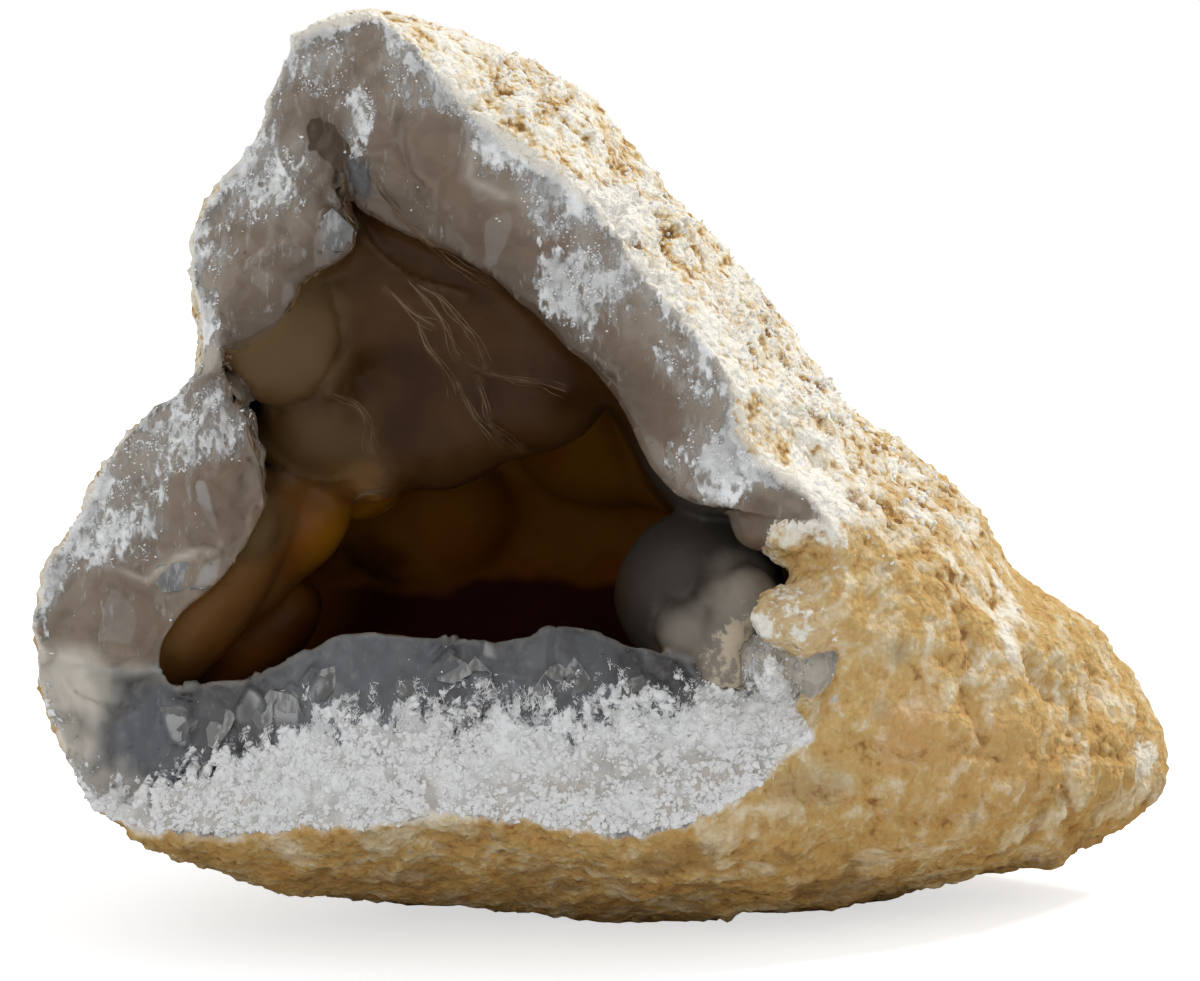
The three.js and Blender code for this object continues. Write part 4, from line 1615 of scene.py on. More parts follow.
@dataclass
class Veins:
    """Hair-thin pale seams that stand out of the curtain where its sheets meet."""

    name: str = "curtain_veins"
    thickness: float = 0.00013
    strands: int = 3
    spread: float = 0.0008
    step: float = 0.0003
    sway: float = 0.0003
    deepest: float = 0.04
    longest_gap: float = 0.0018
    fewest: int = 5
    smoothing: int = 6
    seed: int = 31

    def build(self, front: Front) -> bpy.types.Object:
        """Lays the seams on the stone.

        Args:
            front: the stone's surface.

        Returns:
            The object that holds all the seams.
        """
        curve = bpy.data.curves.new(self.name, "CURVE")
        curve.dimensions = "3D"
        curve.bevel_depth = self.thickness
        curve.bevel_resolution = 1
        curve.use_fill_caps = True
        for number, fold in enumerate(FOLDS):
            for strand in range(self.strands):
                path = self.strand(fold, number * self.strands + strand, strand - (self.strands - 1) / 2)
                spots = self.dropped(path, front)
                if len(spots) < self.fewest:
                    continue
                spline = curve.splines.new("POLY")
                spline.points.add(len(spots) - 1)
                taper = np.sin(np.linspace(0.15, math.pi - 0.15, len(spots))) ** 0.5
                width = (1.0 if strand == 1 else 0.6) * taper
                for point, spot, radius in zip(spline.points, spots, width):
                    point.co = (*spot, 1)
                    point.radius = radius
        holder = in_scene(self.name, curve)
        depsgraph = bpy.context.evaluated_depsgraph_get()
        mesh = bpy.data.meshes.new_from_object(holder.evaluated_get(depsgraph))
        bpy.data.objects.remove(holder)
        mesh.shade_smooth()
        obj = in_scene(self.name, mesh)
        LOG.info("%s: %d faces", self.name, len(mesh.polygons))
        return obj

    def strand(self, fold: Fold, number: int, side: float) -> Array:
        """One strand of a fold, swaying and moved to one side.

        Args:
            fold: the fold it follows.
            number: its number among all the strands.
            side: which side it strays to, and how far.

        Returns:
            Its points across and up, shape (n, 2).
        """
        path = np.array(fold.path)
        lengths = np.r_[0, np.cumsum(np.linalg.norm(np.diff(path, axis=0), axis=1))]
        along = np.arange(0, lengths[-1], self.step)
        line = np.stack([np.interp(along, lengths, path[:, k]) for k in (0, 1)], axis=1)
        for _ in range(self.smoothing):
            line[1:-1] = (line[:-2] + line[1:-1] + line[2:]) / 3
        ahead = np.gradient(line, axis=0)
        ahead /= np.linalg.norm(ahead, axis=1)[:, None]
        places = np.stack([along / MM, np.full(len(along), 7.3 * number), np.zeros(len(along))], axis=1)
        sway = self.sway * (1 + abs(side)) * ripple(places, 3.5, self.seed)
        off = side * self.spread * along / lengths[-1] + sway
        return line + off[:, None] * np.stack([-ahead[:, 1], ahead[:, 0]], axis=1)

    def dropped(self, path: Array, front: Front) -> list[Vector]:
        """The path laid on the surface behind it, as far as it runs on without a gap.

        Args:
            path: points across and up in the net.
            front: the stone's surface.

        Returns:
            The places on the surface.
        """
        spots = []
        for across, up in path:
            hit = front.struck(across, up)[0]
            missed = hit is None or hit.y > self.deepest - front.origin[1]
            if missed or (spots and (hit - spots[-1]).length > self.longest_gap):
                if len(spots) >= self.fewest:
                    break
                spots = []
                continue
            spots.append(hit)
        return spots


# -------------------- materials


class Group(Tree):
    """A shader node group that more than one finish uses, with a Place and numbers as its inputs."""

    def __init__(self, name: str, inputs: tuple[str, ...], outputs: tuple[str, ...]) -> None:
        """Makes the group's sockets.

        Args:
            name: the group's name.
            inputs: names of its number inputs.
            outputs: names of its number outputs.
        """
        super().__init__(bpy.data.node_groups.new(name, "ShaderNodeTree"))
        face = self.tree.interface
        face.new_socket("Place", in_out="INPUT", socket_type="NodeSocketVector")
        for socket in inputs:
            face.new_socket(socket, in_out="INPUT", socket_type="NodeSocketFloat")
        for socket in outputs:
            face.new_socket(socket, in_out="OUTPUT", socket_type="NodeSocketFloat")
        self.given = self.put("NodeGroupInput").outputs

    def noise(self, scale: Socket, **inputs: object) -> Socket:
        """Noise over Place at a scale."""
        vector = {"Vector": self.given["Place"], "Scale": scale}
        return self.put("ShaderNodeTexNoise", vector | inputs).outputs["Fac"]


def mottle_group() -> bpy.types.NodeTree:
    """Node group of cloudy patches: noise of a given scale, cut softly between two levels.

    Returns:
        The group. Its inputs are Place, Scale, Detail, Warp, Low and High, and its output is Mask.
    """
    group = Group("mottle", ("Scale", "Detail", "Warp", "Low", "High"), ("Mask",))
    given = group.given
    noise = group.noise(given["Scale"], Detail=given["Detail"], Distortion=given["Warp"])
    group.put("NodeGroupOutput", {"Mask": group.between(noise, given["Low"], given["High"])})
    return group.tree


def flecks_group() -> bpy.types.NodeTree:
    """Node group of crisp flecks, whose share of the surface is given by Cover.

    Returns:
        The group. Its inputs are Place, Coarse, Fine and Cover, and its outputs are Mask and Height.
    """
    group = Group("flecks", ("Coarse", "Fine", "Cover"), ("Mask", "Height"))
    cover = group.given["Cover"]
    coarse = group.noise(group.given["Coarse"], Detail=6.0, Roughness=0.68)
    fine = group.noise(group.given["Fine"], Detail=3.0)
    blend = group.plus(group.times(coarse, 0.6), group.times(fine, 0.4))
    mask = group.between(blend, group.scaled(cover, -0.34, 0.6), group.scaled(cover, -0.26, 0.67))
    wanted = group.times(mask, group.between(cover, 0.01, 0.12))
    group.put("NodeGroupOutput", {"Mask": wanted, "Height": blend})
    return group.tree


def grain_group() -> bpy.types.NodeTree:
    """Node group of fine stony relief: two sizes of noise added up.

    Returns:
        The group. Its inputs are Place, Coarse, Fine and Balance, and its output is Height.
    """
    group = Group("stone_grain", ("Coarse", "Fine", "Balance"), ("Height",))
    given = group.given
    coarse = group.noise(given["Coarse"], Detail=4.0)
    fine = group.put("ShaderNodeTexVoronoi", {"Vector": given["Place"], "Scale": given["Fine"]})
    part = group.times(fine.outputs["Distance"], given["Balance"])
    group.put("NodeGroupOutput", {"Height": group.combined("SUBTRACT", coarse, part)})
    return group.tree


@dataclass(frozen=True)
class Groups:
    """The shared node groups."""

    mottle: bpy.types.NodeTree = field(default_factory=mottle_group)
    flecks: bpy.types.NodeTree = field(default_factory=flecks_group)
    grain: bpy.types.NodeTree = field(default_factory=grain_group)


CRYSTAL_BLOTCHES = (110, 0.34, 0.56, 4, 0.5)  # clouds in which grains and the ground under them are duller


class Coat(Tree):
    """The node tree of one material, with its shader and the shared groups at hand."""

    def __init__(self, name: str, groups: Groups) -> None:
        """Starts the material.

        Args:
            name: the material's name.
            groups: the shared node groups.
        """
        self.material = bpy.data.materials.new(name)
        self.material.use_nodes = True
        super().__init__(self.material.node_tree)
        self.groups = groups
        self.shader = self.put("ShaderNodeBsdfPrincipled")
        self.put("ShaderNodeOutputMaterial", {"Surface": self.shader.outputs["BSDF"]})

    def cloud(self, scale: float, low: float, high: float, detail: float = 3, warp: float = 0) -> Socket:
        """Cloudy mask over the object.

        Args:
            scale: clouds to a metre, roughly.
            low: level of the noise below which the mask is 0.
            high: level of the noise above which it is 1.
            detail: how many finer sizes are added.
            warp: how much the clouds are drawn out of shape.

        Returns:
            The mask.
        """
        inputs = {"Place": self.place(), "Scale": scale, "Detail": detail, "Warp": warp}
        node = self.put("ShaderNodeGroup", node_tree=self.groups.mottle)
        self.fill(node, inputs | {"Low": low, "High": high})
        return node.outputs["Mask"]

    def flecks(self, coarse: float, fine: float, cover: object, tall: float = 1) -> bpy.types.NodeOutputs:
        """Crisp flecks over the object.

        Args:
            coarse: scale of their groups.
            fine: scale of single ones.
            cover: how much of the surface they cover.
            tall: how far they are stretched upwards.

        Returns:
            The outputs Mask and Height.
        """
        place = self.put("ShaderNodeVectorMath", {0: self.place(), 1: (1, 1, 1 / tall)}, operation="MULTIPLY")
        node = self.put("ShaderNodeGroup", node_tree=self.groups.flecks)
        self.fill(node, {"Place": place.outputs["Vector"], "Coarse": coarse, "Fine": fine, "Cover": cover})
        return node.outputs

    def grain(self, coarse: float, fine: float, balance: float) -> Socket:
        """Height of fine stony relief."""
        node = self.put("ShaderNodeGroup", node_tree=self.groups.grain)
        self.fill(node, {"Place": self.place(), "Coarse": coarse, "Fine": fine, "Balance": balance})
        return node.outputs["Height"]

    def glassy(self, color: Socket, rough: object, scatter: Place, depth: float) -> None:
        """Sets the shader of a material that lets some light in.

        Args:
            color: its colour.
            rough: its roughness.
            scatter: how far each of red, green and blue light strays.
            depth: how deep light gets.
        """
        look = {"Base Color": color, "Roughness": rough, "IOR": 1.54, "Subsurface Weight": 0.3}
        self.fill(self.shader, look | {"Subsurface Radius": scatter, "Subsurface Scale": depth})

    def bumped(self, height: Socket, depth: float) -> None:
        """Puts fine relief on the shader's normal."""
        bump = self.put("ShaderNodeBump", {"Height": height, "Distance": depth, "Strength": 1.0})
        self.fill(self.shader, {"Normal": bump.outputs["Normal"]})


@dataclass(frozen=True)
class Finish:
    """A material. Each kind says how it is coloured."""

    name: str
    # the lip colour is a painted highlight along the lip of the hollow; the dark colour below gives dark
    # clouds in the glass and painted shade under the roof and down the clefts
    lip: Color = (0.235, 0.178, 0.13, 1)
    dark_tone_and_shade: Color = (0.1, 0.068, 0.045, 1)
    rim: Color = (0.8, 0.74, 0.64, 1)

    def material(self, groups: Groups) -> bpy.types.Material:
        """The finished material."""
        coat = Coat(self.name, groups)
        self.dress(coat)
        return coat.material

    def dress(self, coat: Coat) -> None:
        """Fills in the shader."""
        raise NotImplementedError


@dataclass(frozen=True)
class RindFinish(Finish):
    """Dry, pitted limestone: chalky on its high points and ochre to brown in its pits; pits and creases are
    painted darker, partly as shade, and the underside is darkened as painted shade.
    """

    pit: Color = (0.3, 0.155, 0.05, 1)
    ochre: Color = (0.56, 0.34, 0.12, 1)
    tan: Color = (0.6, 0.415, 0.17, 1)
    sand: Color = (0.72, 0.57, 0.325, 1)
    cream: Color = (0.82, 0.74, 0.58, 1)
    chalk: Color = (0.87, 0.84, 0.76, 1)
    orange: Color = (0.6, 0.34, 0.13, 1)
    grey: Color = (0.36, 0.33, 0.26, 1)
    # multiplied in towards the bottom as painted shade of the underside, partly a more saturated ochre there
    under: Color = (0.86, 0.76, 0.6, 1)
    # cloudy dark brown patches towards the bottom
    low_brown: Color = (0.27, 0.165, 0.06, 1)

    def dress(self, coat: Coat) -> None:
        """Colours the rind by its relief, with painted shade in pits and creases, then stains and whitens it,
        adds cloudy dark brown patches towards the bottom and darkens it towards the bottom as painted shade
        of the underside.

        Args:
            coat: the material's tree.
        """
        height, patchy = coat.grain(620, 1100, 0.35), coat.cloud(190, 0.4, 0.6, 4)
        color = self.whitened(coat, self.stone(coat, height), patchy)
        level = coat.spot()["Z"]
        low_brown = coat.times(coat.cloud(170, 0.46, 0.66, 5, 0.8), coat.between(level, 0.022, 0.012))
        color = coat.tint(color, low_brown, self.low_brown, 0.65)
        # painted shade: darker towards the bottom, where the underside lies in shade, partly a more saturated
        # ochre
        color = coat.mix(coat.between(level, 0.03, 0.006), color, self.under, "MULTIPLY")
        seam = coat.times(coat.between(coat.field("past_rim"), 0.8, 0.05), coat.scaled(patchy, 0.7, 0.15))
        color = coat.mix(seam, color, self.rim)
        coat.fill(coat.shader, {"Base Color": color, "Roughness": 0.92, "Specular IOR Level": 0.25})
        coat.bumped(height, 0.0009)

    def stone(self, coat: Coat, height: Socket) -> Socket:
        """Colour of the bare rind, brighter above and duller below, darker in its pits and creases partly as
        painted shade.

        Args:
            coat: the material's tree.
            height: fine relief of the surface.

        Returns:
            The colour.
        """
        stain = coat.cloud(120, 0.34, 0.66, 6, 1.4)
        broad = coat.cloud(38, 0.3, 0.7, 3, 0.6)
        upper = coat.between(coat.plus(coat.spot()["Z"], coat.scaled(broad, 0.024, -0.012)), 0.036, 0.068)
        # shade: tone from relief and fine grain, low in pits and creases: partly their own brown, partly
        # painted shade in them
        shade = coat.plus(coat.scaled(coat.field("relief"), 0.42), coat.scaled(height, 1.3, -0.5))
        shade = coat.plus(shade, coat.scaled(coat.cloud(420, 0.36, 0.64, 5), 0.3, -0.15))
        shade = coat.times(shade, coat.scaled(upper, 0.35, 0.65))
        shade = coat.plus(shade, coat.scaled(stain, 0.24, 0.35))
        high = [(0.0, self.pit), (0.16, self.tan), (0.36, self.cream), (0.6, self.chalk)]
        low = [(0.0, self.pit), (0.2, self.ochre), (0.5, self.tan), (0.74, self.sand), (1.0, self.cream)]
        level = coat.plus(upper, coat.scaled(stain, 0.8, -0.4), True)
        color = coat.mix(level, coat.ramp(shade, low), coat.ramp(shade, high))
        color = coat.tint(color, coat.field("orange"), self.orange, 0.7)
        return coat.tint(color, coat.field("grey"), self.grey, 0.8)

    def whitened(self, coat: Coat, color: Socket, patchy: Socket) -> Socket:
        """Chalk on the painted places and along the upper rim.

        Args:
            coat: the material's tree.
            color: the colour under the chalk.
            patchy: mask that breaks up the rim's chalk.

        Returns:
            The colour with the chalk.
        """
        upper = coat.between(coat.spot()["Z"], 0.045, 0.06)
        edge = coat.times(coat.between(coat.field("past_rim"), 3.5, 0.3), upper)
        white = coat.plus(coat.field("chalk"), coat.times(edge, coat.scaled(patchy, 0.8, 0.2)))
        color = coat.tint(color, white, self.chalk, 0.4)
        return coat.mix(coat.flecks(330, 1200, coat.scaled(white, 0.8))["Mask"], color, self.chalk)


@dataclass(frozen=True)
class ChalcedonyFinish(Finish):
    """Broken chalcedony: waxy grey-brown or bluish glass, frosted white where it is crushed or sugary."""

    brown: Color = (0.18, 0.122, 0.082, 1)
    grey: Color = (0.31, 0.255, 0.2, 1)
    blue: Color = (0.018, 0.02, 0.023, 1)
    mist: Color = (0.21, 0.232, 0.265, 1)
    spot: Color = (0.06, 0.064, 0.07, 1)
    # dark brown of the crevices, partly painted shade in them
    hole: Color = (0.06, 0.032, 0.014, 1)
    # painted highlight along the lip of the bottom wall
    lip_highlight: Color = (0.24, 0.235, 0.22, 1)
    pale: Color = (0.4, 0.4, 0.39, 1)
    milk: Color = (0.46, 0.44, 0.4, 1)
    cream: Color = (0.64, 0.59, 0.51, 1)
    warm: Color = (0.5, 0.43, 0.35, 1)
    white: Color = (0.95, 0.96, 0.97, 1)

    def dress(self, coat: Coat) -> None:
        """Mixes glass and frost by the painted fields and by noise.

        Args:
            coat: the material's tree.
        """
        sugar = coat.field("sugar")
        cloud = coat.cloud(130, 0.32, 0.68, 4, 0.5)
        cover = coat.combined("SUBTRACT", coat.field("frost"), coat.scaled(coat.field("clear"), 0.8))
        cover = coat.plus(cover, coat.scaled(coat.between(coat.field("past_rim"), -3.0, -0.3), 0.6))
        cover = coat.combined("SUBTRACT", cover, coat.scaled(coat.field("cream"), 0.35))
        glass = self.scratched(coat, self.glass(coat, cloud), cover, cloud)
        strokes = coat.flecks(420, 1300, coat.scaled(cover, 0.68), 1.9)
        grains = coat.flecks(300, 1200, coat.scaled(sugar, 1.35), 1.2)
        frosting = coat.combined("MAXIMUM", strokes["Mask"], grains["Mask"])
        color = self.edged(coat, coat.tint(glass, frosting, self.crystals(coat, sugar), 0.9))
        coat.glassy(color, coat.ranged(frosting, 0.26, 0.6), (1.0, 0.85, 0.7), 0.0008)
        coat.fill(coat.shader, {"Specular IOR Level": 0.4, "Subsurface Weight": 0.25})
        calm = coat.times(coat.scaled(frosting, 0.88, 0.12), coat.scaled(sugar, -0.5, 1.0))
        coat.bumped(coat.times(strokes["Height"], calm), 0.00045)

    def glass(self, coat: Coat, cloud: Socket) -> Socket:
        """Colour of the clean glass: grey-brown on the walls, dark and bluish on the bottom wall, with
        painted shade under the roof and down the clefts and a bluish tint that is partly a painted sheen.

        Args:
            coat: the material's tree.
            cloud: broad clouds in the glass.

        Returns:
            The colour.
        """
        outer = coat.between(coat.field("past_rim"), -9, -2)
        share = coat.plus(coat.scaled(cloud, 0.6), coat.scaled(outer, 0.5), True)
        glass = coat.mix(share, self.brown, self.grey)
        glass = coat.tint(glass, coat.field("clear"), self.brown, 0.55)
        glass = coat.tint(glass, coat.cloud(300, 0.4, 0.7, 5, 0.6), self.dark_tone_and_shade, 0.45)
        # painted shade: the glass near the lip is darkened under the roof
        roof = coat.between(coat.spot()["Z"], 0.063, 0.071)
        dark_tone_and_shade = coat.times(coat.between(coat.field("past_lip"), -7.5, -0.5), roof)
        glass = coat.tint(glass, dark_tone_and_shade, self.dark_tone_and_shade, 0.8)
        bottom = coat.field("bottom")
        glass = coat.tint(glass, bottom, self.blue, 0.85)
        haze = coat.times(bottom, coat.between(coat.field("sugar"), 0.02, 0.4))
        glass = coat.tint(glass, haze, self.mist, 0.5)
        # bluish tint of the cool patches, partly a painted sheen
        glass = coat.tint(glass, coat.field("cool"), self.mist, 0.32)
        streaks = coat.flecks(210, 640, coat.scaled(bottom, 0.6), 3.2)["Mask"]
        glass = coat.tint(glass, streaks, self.mist, 0.16)
        chips = coat.between(coat.field("tint"), 0.45, 0.75)
        glass = coat.tint(glass, coat.times(chips, coat.field("pale")), self.pale, 0.75)
        glass = coat.mix(coat.times(chips, coat.scaled(bottom, -0.13, 0.2)), glass, self.pale)
        glass = coat.tint(glass, coat.field("spot"), self.spot, 0.85)
        glass = coat.tint(glass, coat.field("cream"), self.cream, 0.85)
        # painted shade down the clefts
        glass = coat.tint(glass, coat.field("cleft"), self.dark_tone_and_shade, 0.5)
        return coat.tint(glass, coat.field("ridge"), self.cream, 0.55)

    def scratched(self, coat: Coat, glass: Socket, cover: Socket, cloud: Socket) -> Socket:
        """Glass with a pale veil and fine upright scratches.

        Args:
            coat: the material's tree.
            glass: colour of the clean glass.
            cover: how much frost covers it.
            cloud: broad clouds in the glass.

        Returns:
            The colour.
        """
        veil = coat.times(coat.cloud(260, 0.28, 0.68, 6, 0.3), coat.scaled(cover, 0.75), True)
        glass = coat.tint(glass, veil, self.pale, 0.7)
        fine = coat.combined("MAXIMUM", coat.scaled(cover, 0.4, 0.15), coat.scaled(cloud, 0.24, -0.03))
        scratches = coat.flecks(640, 1700, fine, 3.2)["Mask"]
        scratches = coat.times(scratches, coat.scaled(coat.field("bottom"), -0.28, 0.4))
        return coat.mix(scratches, glass, self.pale)

    def crystals(self, coat: Coat, sugar: Socket) -> Socket:
        """Colour of frost and sugar: white on high points, milky between, partly as painted glints and
        painted shade, dull and warm in patches.

        Args:
            coat: the material's tree.
            sugar: where the sugar is.

        Returns:
            The colour.
        """
        rim = coat.field("past_rim")
        # shine and relief: fine spots and high points painted whiter as glints, hollows between them darker
        # as painted shade
        shine = coat.scaled(coat.cloud(480, 0.34, 0.62, 5), 0.5, 0.45)
        bright = coat.plus(shine, coat.scaled(coat.field("relief"), 0.5), True)
        blotch = coat.cloud(*CRYSTAL_BLOTCHES)
        bright = coat.times(bright, coat.scaled(blotch, 0.8, 0.3), True)
        worn = coat.times(sugar, coat.between(rim, -7, -1))
        bright = coat.times(bright, coat.scaled(worn, -0.4, 1.0))
        whites = coat.mix(bright, coat.mix(sugar, self.pale, self.milk), self.white)
        inner = coat.times(coat.cloud(150, 0.42, 0.64, 5), coat.between(rim, -11, -4))
        return coat.tint(whites, coat.times(sugar, inner), self.warm, 0.65)

    def edged(self, coat: Coat, color: Socket) -> Socket:
        """The broken wall's colour with its rim, a painted highlight along its lip that turns to painted
        shade under the roof, and its holes, painted dark brown partly as shade in them.

        Args:
            coat: the material's tree.
            color: colour of the wall itself.

        Returns:
            The colour.
        """
        patchy = coat.scaled(coat.cloud(190, 0.4, 0.6, 4), 0.65, 0.15)
        seam = coat.times(coat.between(coat.field("past_rim"), -1.0, -0.05), patchy)
        color = coat.mix(seam, color, self.rim)
        # painted highlight along the lip, turning to painted shade under the roof
        edge = coat.mix(coat.between(coat.spot()["Z"], 0.063, 0.071), self.lip, self.dark_tone_and_shade)
        edge = coat.mix(coat.field("bottom"), edge, self.lip_highlight)
        color = coat.tint(color, coat.between(coat.field("past_lip"), -1.1, -0.1), edge, 0.8)
        return coat.tint(color, coat.between(coat.field("hole"), 0.25, 0.5), self.hole, 0.95)


@dataclass(frozen=True)
class HollowFinish(Finish):
    """Rounded growths of the hollow: translucent brown near the mouth, amber and then nearly black inside;
    the amber is partly painted light through the walls, the black is painted shadow.
    """

    brown: Color = (0.036, 0.013, 0.003, 1)
    umber: Color = (0.063, 0.028, 0.008, 1)
    olive: Color = (0.12, 0.073, 0.029, 1)
    amber: Color = (0.21, 0.062, 0.002, 1)
    honey: Color = (0.23, 0.09, 0.003, 1)
    deep: Color = (0.04, 0.006, 0.002, 1)
    smoke: Color = (0.05, 0.042, 0.035, 1)
    milk: Color = (0.3, 0.265, 0.22, 1)
    vein: Color = (0.2, 0.135, 0.078, 1)
    cream: Color = (0.5, 0.42, 0.32, 1)

    def dress(self, coat: Coat) -> None:
        """Turns from brown at the mouth to the amber glow deeper in, with painted shadow low in the hollow
        and in the deep patches, and faint pale veins where growths meet.

        Args:
            coat: the material's tree.
        """
        spot = coat.spot()
        depth = coat.between(spot["Y"], -0.001, 0.006)
        color = coat.mix(coat.cloud(90, 0.32, 0.68, 3, 0.5), self.brown, self.umber)
        # glow: amber deeper in, partly the glass's own amber, partly painted light shining through the walls
        glow = coat.mix(coat.cloud(60, 0.42, 0.58, 2, 0.4), self.amber, self.honey)
        color = coat.mix(depth, color, glow)
        color = coat.mix(coat.field("amber"), color, glow)
        # painted shadow: the low floor of the hollow and the deep patches are made nearly black
        low = coat.plus(spot["Z"], coat.scaled(coat.cloud(70, 0.3, 0.7, 2), 0.004, -0.002))
        low = coat.times(coat.between(low, 0.0425, 0.0395), coat.between(spot["X"], -0.046, -0.034))
        low = coat.times(low, coat.between(spot["Y"], -0.02, -0.008))
        color = coat.mix(coat.combined("MAXIMUM", low, coat.field("deep")), color, self.deep)
        color = coat.mix(coat.field("olive"), color, self.olive)
        ball = coat.times(coat.between(spot["X"], -0.003, 0.002), coat.between(spot["Z"], 0.0655, 0.0595))
        ball = coat.times(ball, coat.between(spot["Y"], -0.004, -0.012))
        color = coat.mix(ball, color, self.smoke)
        color = coat.tint(color, coat.field("milk"), self.milk, 0.8)
        color = coat.mix(coat.flecks(420, 1200, coat.field("cream"))["Mask"], color, self.cream)
        veil = coat.times(coat.field("line"), coat.cloud(300, 0.35, 0.65, 4))
        color = coat.tint(color, veil, self.vein, 0.45)
        # painted highlight along the lip on the hollow's side, turning to painted shade under the roof
        edge = coat.mix(coat.between(spot["Z"], 0.063, 0.071), self.lip, self.dark_tone_and_shade)
        color = coat.tint(color, coat.between(coat.field("past_lip"), 1.3, 0.1), edge, 0.8)
        coat.glassy(color, coat.ranged(depth, 0.4, 0.75), (1.0, 0.6, 0.3), 0.0015)
        coat.fill(coat.shader, {"Specular IOR Level": 0.14, "Subsurface Weight": 0.25, "IOR": 1.5})
        coat.bumped(coat.grain(420, 900, 0.2), 0.0001)


@dataclass(frozen=True)
class VeinFinish(Finish):
    """Pale seams of the curtain, clearer in places."""

    faint: Color = (0.07, 0.035, 0.013, 1)
    bright: Color = (0.17, 0.115, 0.066, 1)

    def dress(self, coat: Coat) -> None:
        """Lets the seams come and go."""
        color = coat.mix(coat.cloud(260, 0.35, 0.62, 3), self.faint, self.bright)
        coat.fill(coat.shader, {"Base Color": color, "Roughness": 0.5, "Specular IOR Level": 0.2})


@dataclass(frozen=True)
class ChipFinish(Finish):
    """Chips of paler glass, clouded and scratched."""

    glass: Color = (0.085, 0.084, 0.082, 1)
    cloudy: Color = (0.19, 0.19, 0.186, 1)
    white: Color = (0.45, 0.45, 0.44, 1)

    def dress(self, coat: Coat) -> None:
        """Clouds the glass and frosts it a little.

        Args:
            coat: the material's tree.
        """
        color = coat.mix(coat.cloud(230, 0.3, 0.66, 4, 0.4), self.glass, self.cloudy)
        color = coat.tint(color, coat.flecks(520, 1500, 0.34, 3.0)["Mask"], self.white, 0.55)
        coat.glassy(color, 0.3, (1.0, 0.9, 0.8), 0.001)


@dataclass(frozen=True)
class QuartzFinish(Finish):
    """Small clear to milky quartz crystals, duller in patches."""

    dull: Color = (0.42, 0.39, 0.34, 1)
    clear: Color = (0.88, 0.87, 0.85, 1)
    white: Color = (0.98, 0.985, 0.99, 1)
    warm: Color = (0.78, 0.71, 0.61, 1)

    def dress(self, coat: Coat) -> None:
        """Milky and clear grains side by side.

        Args:
            coat: the material's tree.
        """
        color = coat.mix(coat.cloud(900, 0.3, 0.62, 2), self.clear, self.white)
        color = coat.tint(color, coat.cloud(150, 0.48, 0.7, 5), self.warm, 0.5)
        blotch = coat.cloud(*CRYSTAL_BLOTCHES)
        color = coat.mix(coat.scaled(blotch, -0.8, 0.8), color, self.dull)
        coat.glassy(color, 0.3, (1.0, 0.95, 0.9), 0.0008)


# -------------------- studio


@dataclass
class Studio:
    """Pale floor, soft lights and the camera."""

    aim: Vector
    distance: float = 0.42
    elevation: float = 6.0
    lens: float = 100.8
    floor_size: float = 30.0
    floor_glow: float = 0.62
    ambient: float = 0.63

    def build(self) -> None:
        """Makes floor, lights, world and camera."""
        self.floor()
        self.sun("key", Vector((0.55, 0.32, 0.8)), 2.15, 14.0, (1.0, 0.97, 0.92))
        self.sun("fill", Vector((-0.45, -0.8, 0.5)), 0.36, 50.0, (1.0, 0.99, 0.97))
        self.world()
        self.camera()

    def floor(self) -> None:
        """A plain pale floor."""
        shape = bmesh.new()
        bmesh.ops.create_grid(shape, x_segments=1, y_segments=1, size=self.floor_size)
        floor = in_scene("floor", meshed(shape, "floor"))
        material = bpy.data.materials.new("floor_white")
        material.use_nodes = True
        tree = Tree(material.node_tree)
        seen = tree.put("ShaderNodeLightPath").outputs["Is Camera Ray"]
        glow = tree.scaled(seen, self.floor_glow)
        look = {"Base Color": (0.7, 0.73, 0.76, 1), "Roughness": 0.9, "Emission Color": (1, 1, 1, 1)}
        shader = tree.put("ShaderNodeBsdfPrincipled", look | {"Emission Strength": glow})
        tree.put("ShaderNodeOutputMaterial", {"Surface": shader.outputs["BSDF"]})
        floor.data.materials.append(material)

    def sun(self, name: str, toward: Vector, strength: float, width: float, color: Place) -> None:
        """A light that is even over the whole floor.

        Args:
            name: what the light is called.
            toward: direction from the stone to the light.
            strength: its strength in watts a square metre.
            width: the angle that the light fills, in degrees.
            color: its colour.
        """
        data = bpy.data.lights.new(name, "SUN")
        data.energy = strength
        data.angle = math.radians(width)
        data.color = color
        lamp = in_scene(name, data)
        lamp.location = self.aim + toward
        lamp.rotation_euler = (-toward).to_track_quat("-Z", "Y").to_euler()

    def world(self) -> None:
        """A soft even surrounding, which looks white itself."""
        world = bpy.data.worlds.new("studio")
        world.use_nodes = True
        tree = Tree(world.node_tree)
        seen = tree.put("ShaderNodeLightPath").outputs["Is Camera Ray"]
        level = tree.ranged(seen, self.ambient, 1.0)
        light = tree.put("ShaderNodeBackground", {"Color": (1, 1, 1, 1), "Strength": level})
        tree.put("ShaderNodeOutputWorld", {"Surface": light.outputs["Background"]})
        bpy.context.scene.world = world

    def camera(self) -> None:
        """The camera, a little above the level of the stone's middle."""
        tilt = math.radians(self.elevation)
        data = bpy.data.cameras.new("camera")
        data.lens = self.lens
        data.clip_start = 0.01
        camera = in_scene("camera", data)
        away = Vector((0, -math.cos(tilt), math.sin(tilt)))
        camera.location = self.aim + away * self.distance
        camera.rotation_euler = (-away).to_track_quat("-Z", "Y").to_euler()
        bpy.context.scene.camera = camera


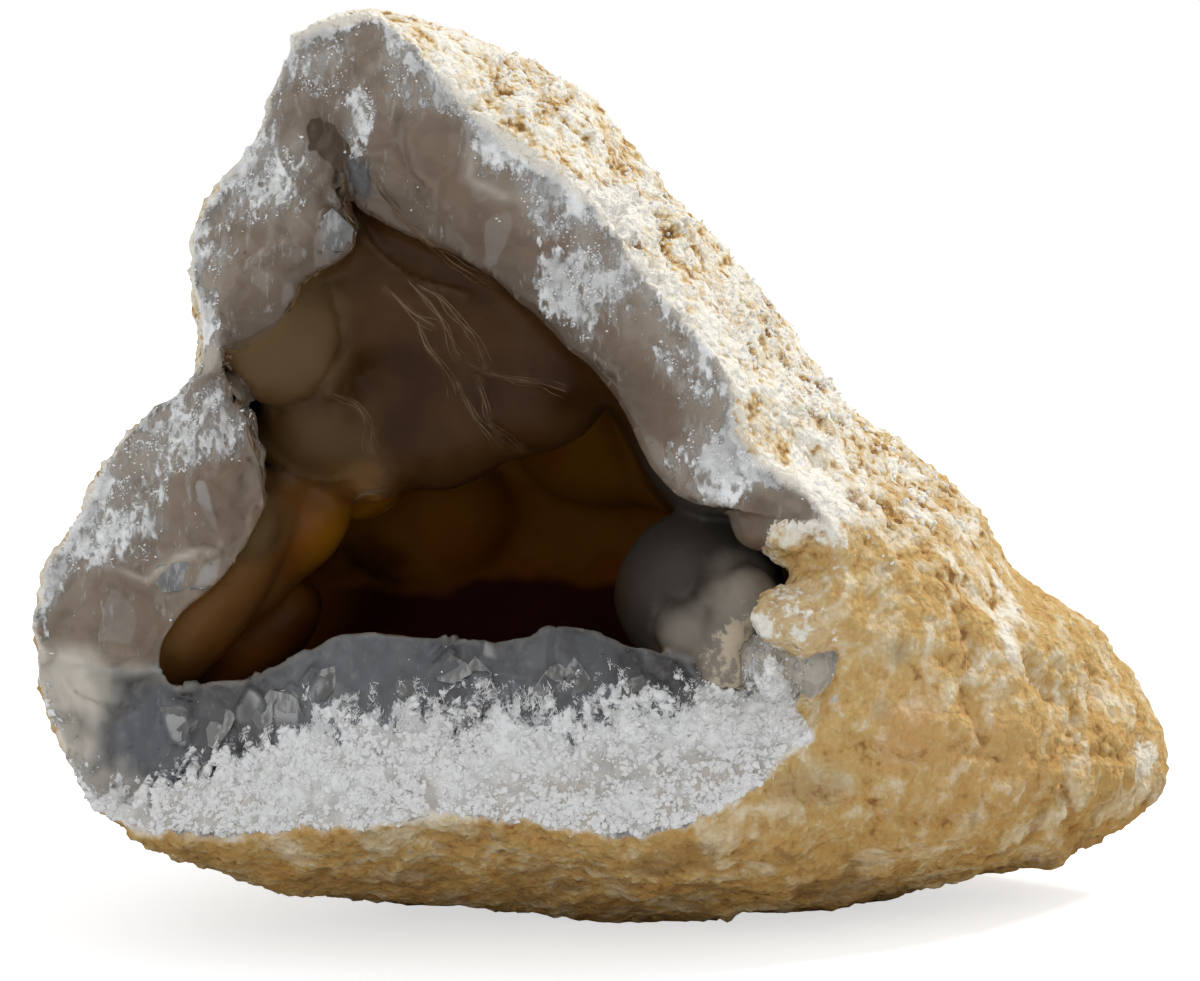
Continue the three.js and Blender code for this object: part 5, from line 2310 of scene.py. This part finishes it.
def dress_stone(stone: bpy.types.Object, finishes: tuple[bpy.types.Material, ...]) -> None:
    """Gives each face of the stone the finish of its skin.

    Args:
        stone: the stone.
        finishes: the materials of hollow, broken wall and rind.
    """
    mesh = stone.data
    for finish in finishes:
        mesh.materials.append(finish)
    corner = np.empty(len(mesh.loops), dtype=np.int32)
    mesh.loops.foreach_get("vertex_index", corner)
    values = {}
    for name in ("past_rim", "past_lip"):
        column = np.empty(len(mesh.vertices), dtype=np.float32)
        mesh.attributes[name].data.foreach_get("value", column)
        values[name] = column[corner].reshape(-1, 3).mean(axis=1)
    inside = np.where(values["past_lip"] > 0, Zone.HOLLOW, Zone.FACE)
    kind = np.where(values["past_rim"] > 0, Zone.RIND, inside)
    mesh.polygons.foreach_set("material_index", kind.astype(np.int32))


def main() -> None:
    """Builds the stone, its grains and the studio in order."""
    logging.basicConfig(level=logging.INFO, format="%(name)s: %(message)s")
    groups = Groups()
    hollow = HollowFinish("hollow_lining").material(groups)
    broken = ChalcedonyFinish("broken_chalcedony").material(groups)
    rind = RindFinish("limestone_rind").material(groups)
    quartz = QuartzFinish("quartz_grains").material(groups)
    seams = VeinFinish("curtain_seams").material(groups)
    stone = Stone()
    obj, skin = stone.build()
    dress_stone(obj, (hollow, broken, rind))
    surface = BVHTree.FromObject(obj, bpy.context.evaluated_depsgraph_get())
    front = Front(surface, stone.origin())
    veins = Veins().build(front)
    veins.data.materials.append(seams)
    chips = Splits().build(front)
    chips.data.materials.append(ChipFinish("pale_glass").material(groups))
    pieces = [obj, veins, chips]
    for grains in (QUARTZ_SUGAR, QUARTZ_NEEDLES, QUARTZ_SPLINTERS, RIND_CRUMBS):
        piece = grains.strew(skin)
        piece.data.materials.append(rind if grains is RIND_CRUMBS else quartz)
        pieces.append(piece)
    for piece in pieces:
        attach(piece, "root")
        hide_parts("chalcedony_stone")
    Studio(Vector((0, 0, AIM_HEIGHT)) - Vector(stone.origin())).build()
    bpy.context.scene.view_settings.view_transform = "Standard"


if __name__ == "__main__":
    main()
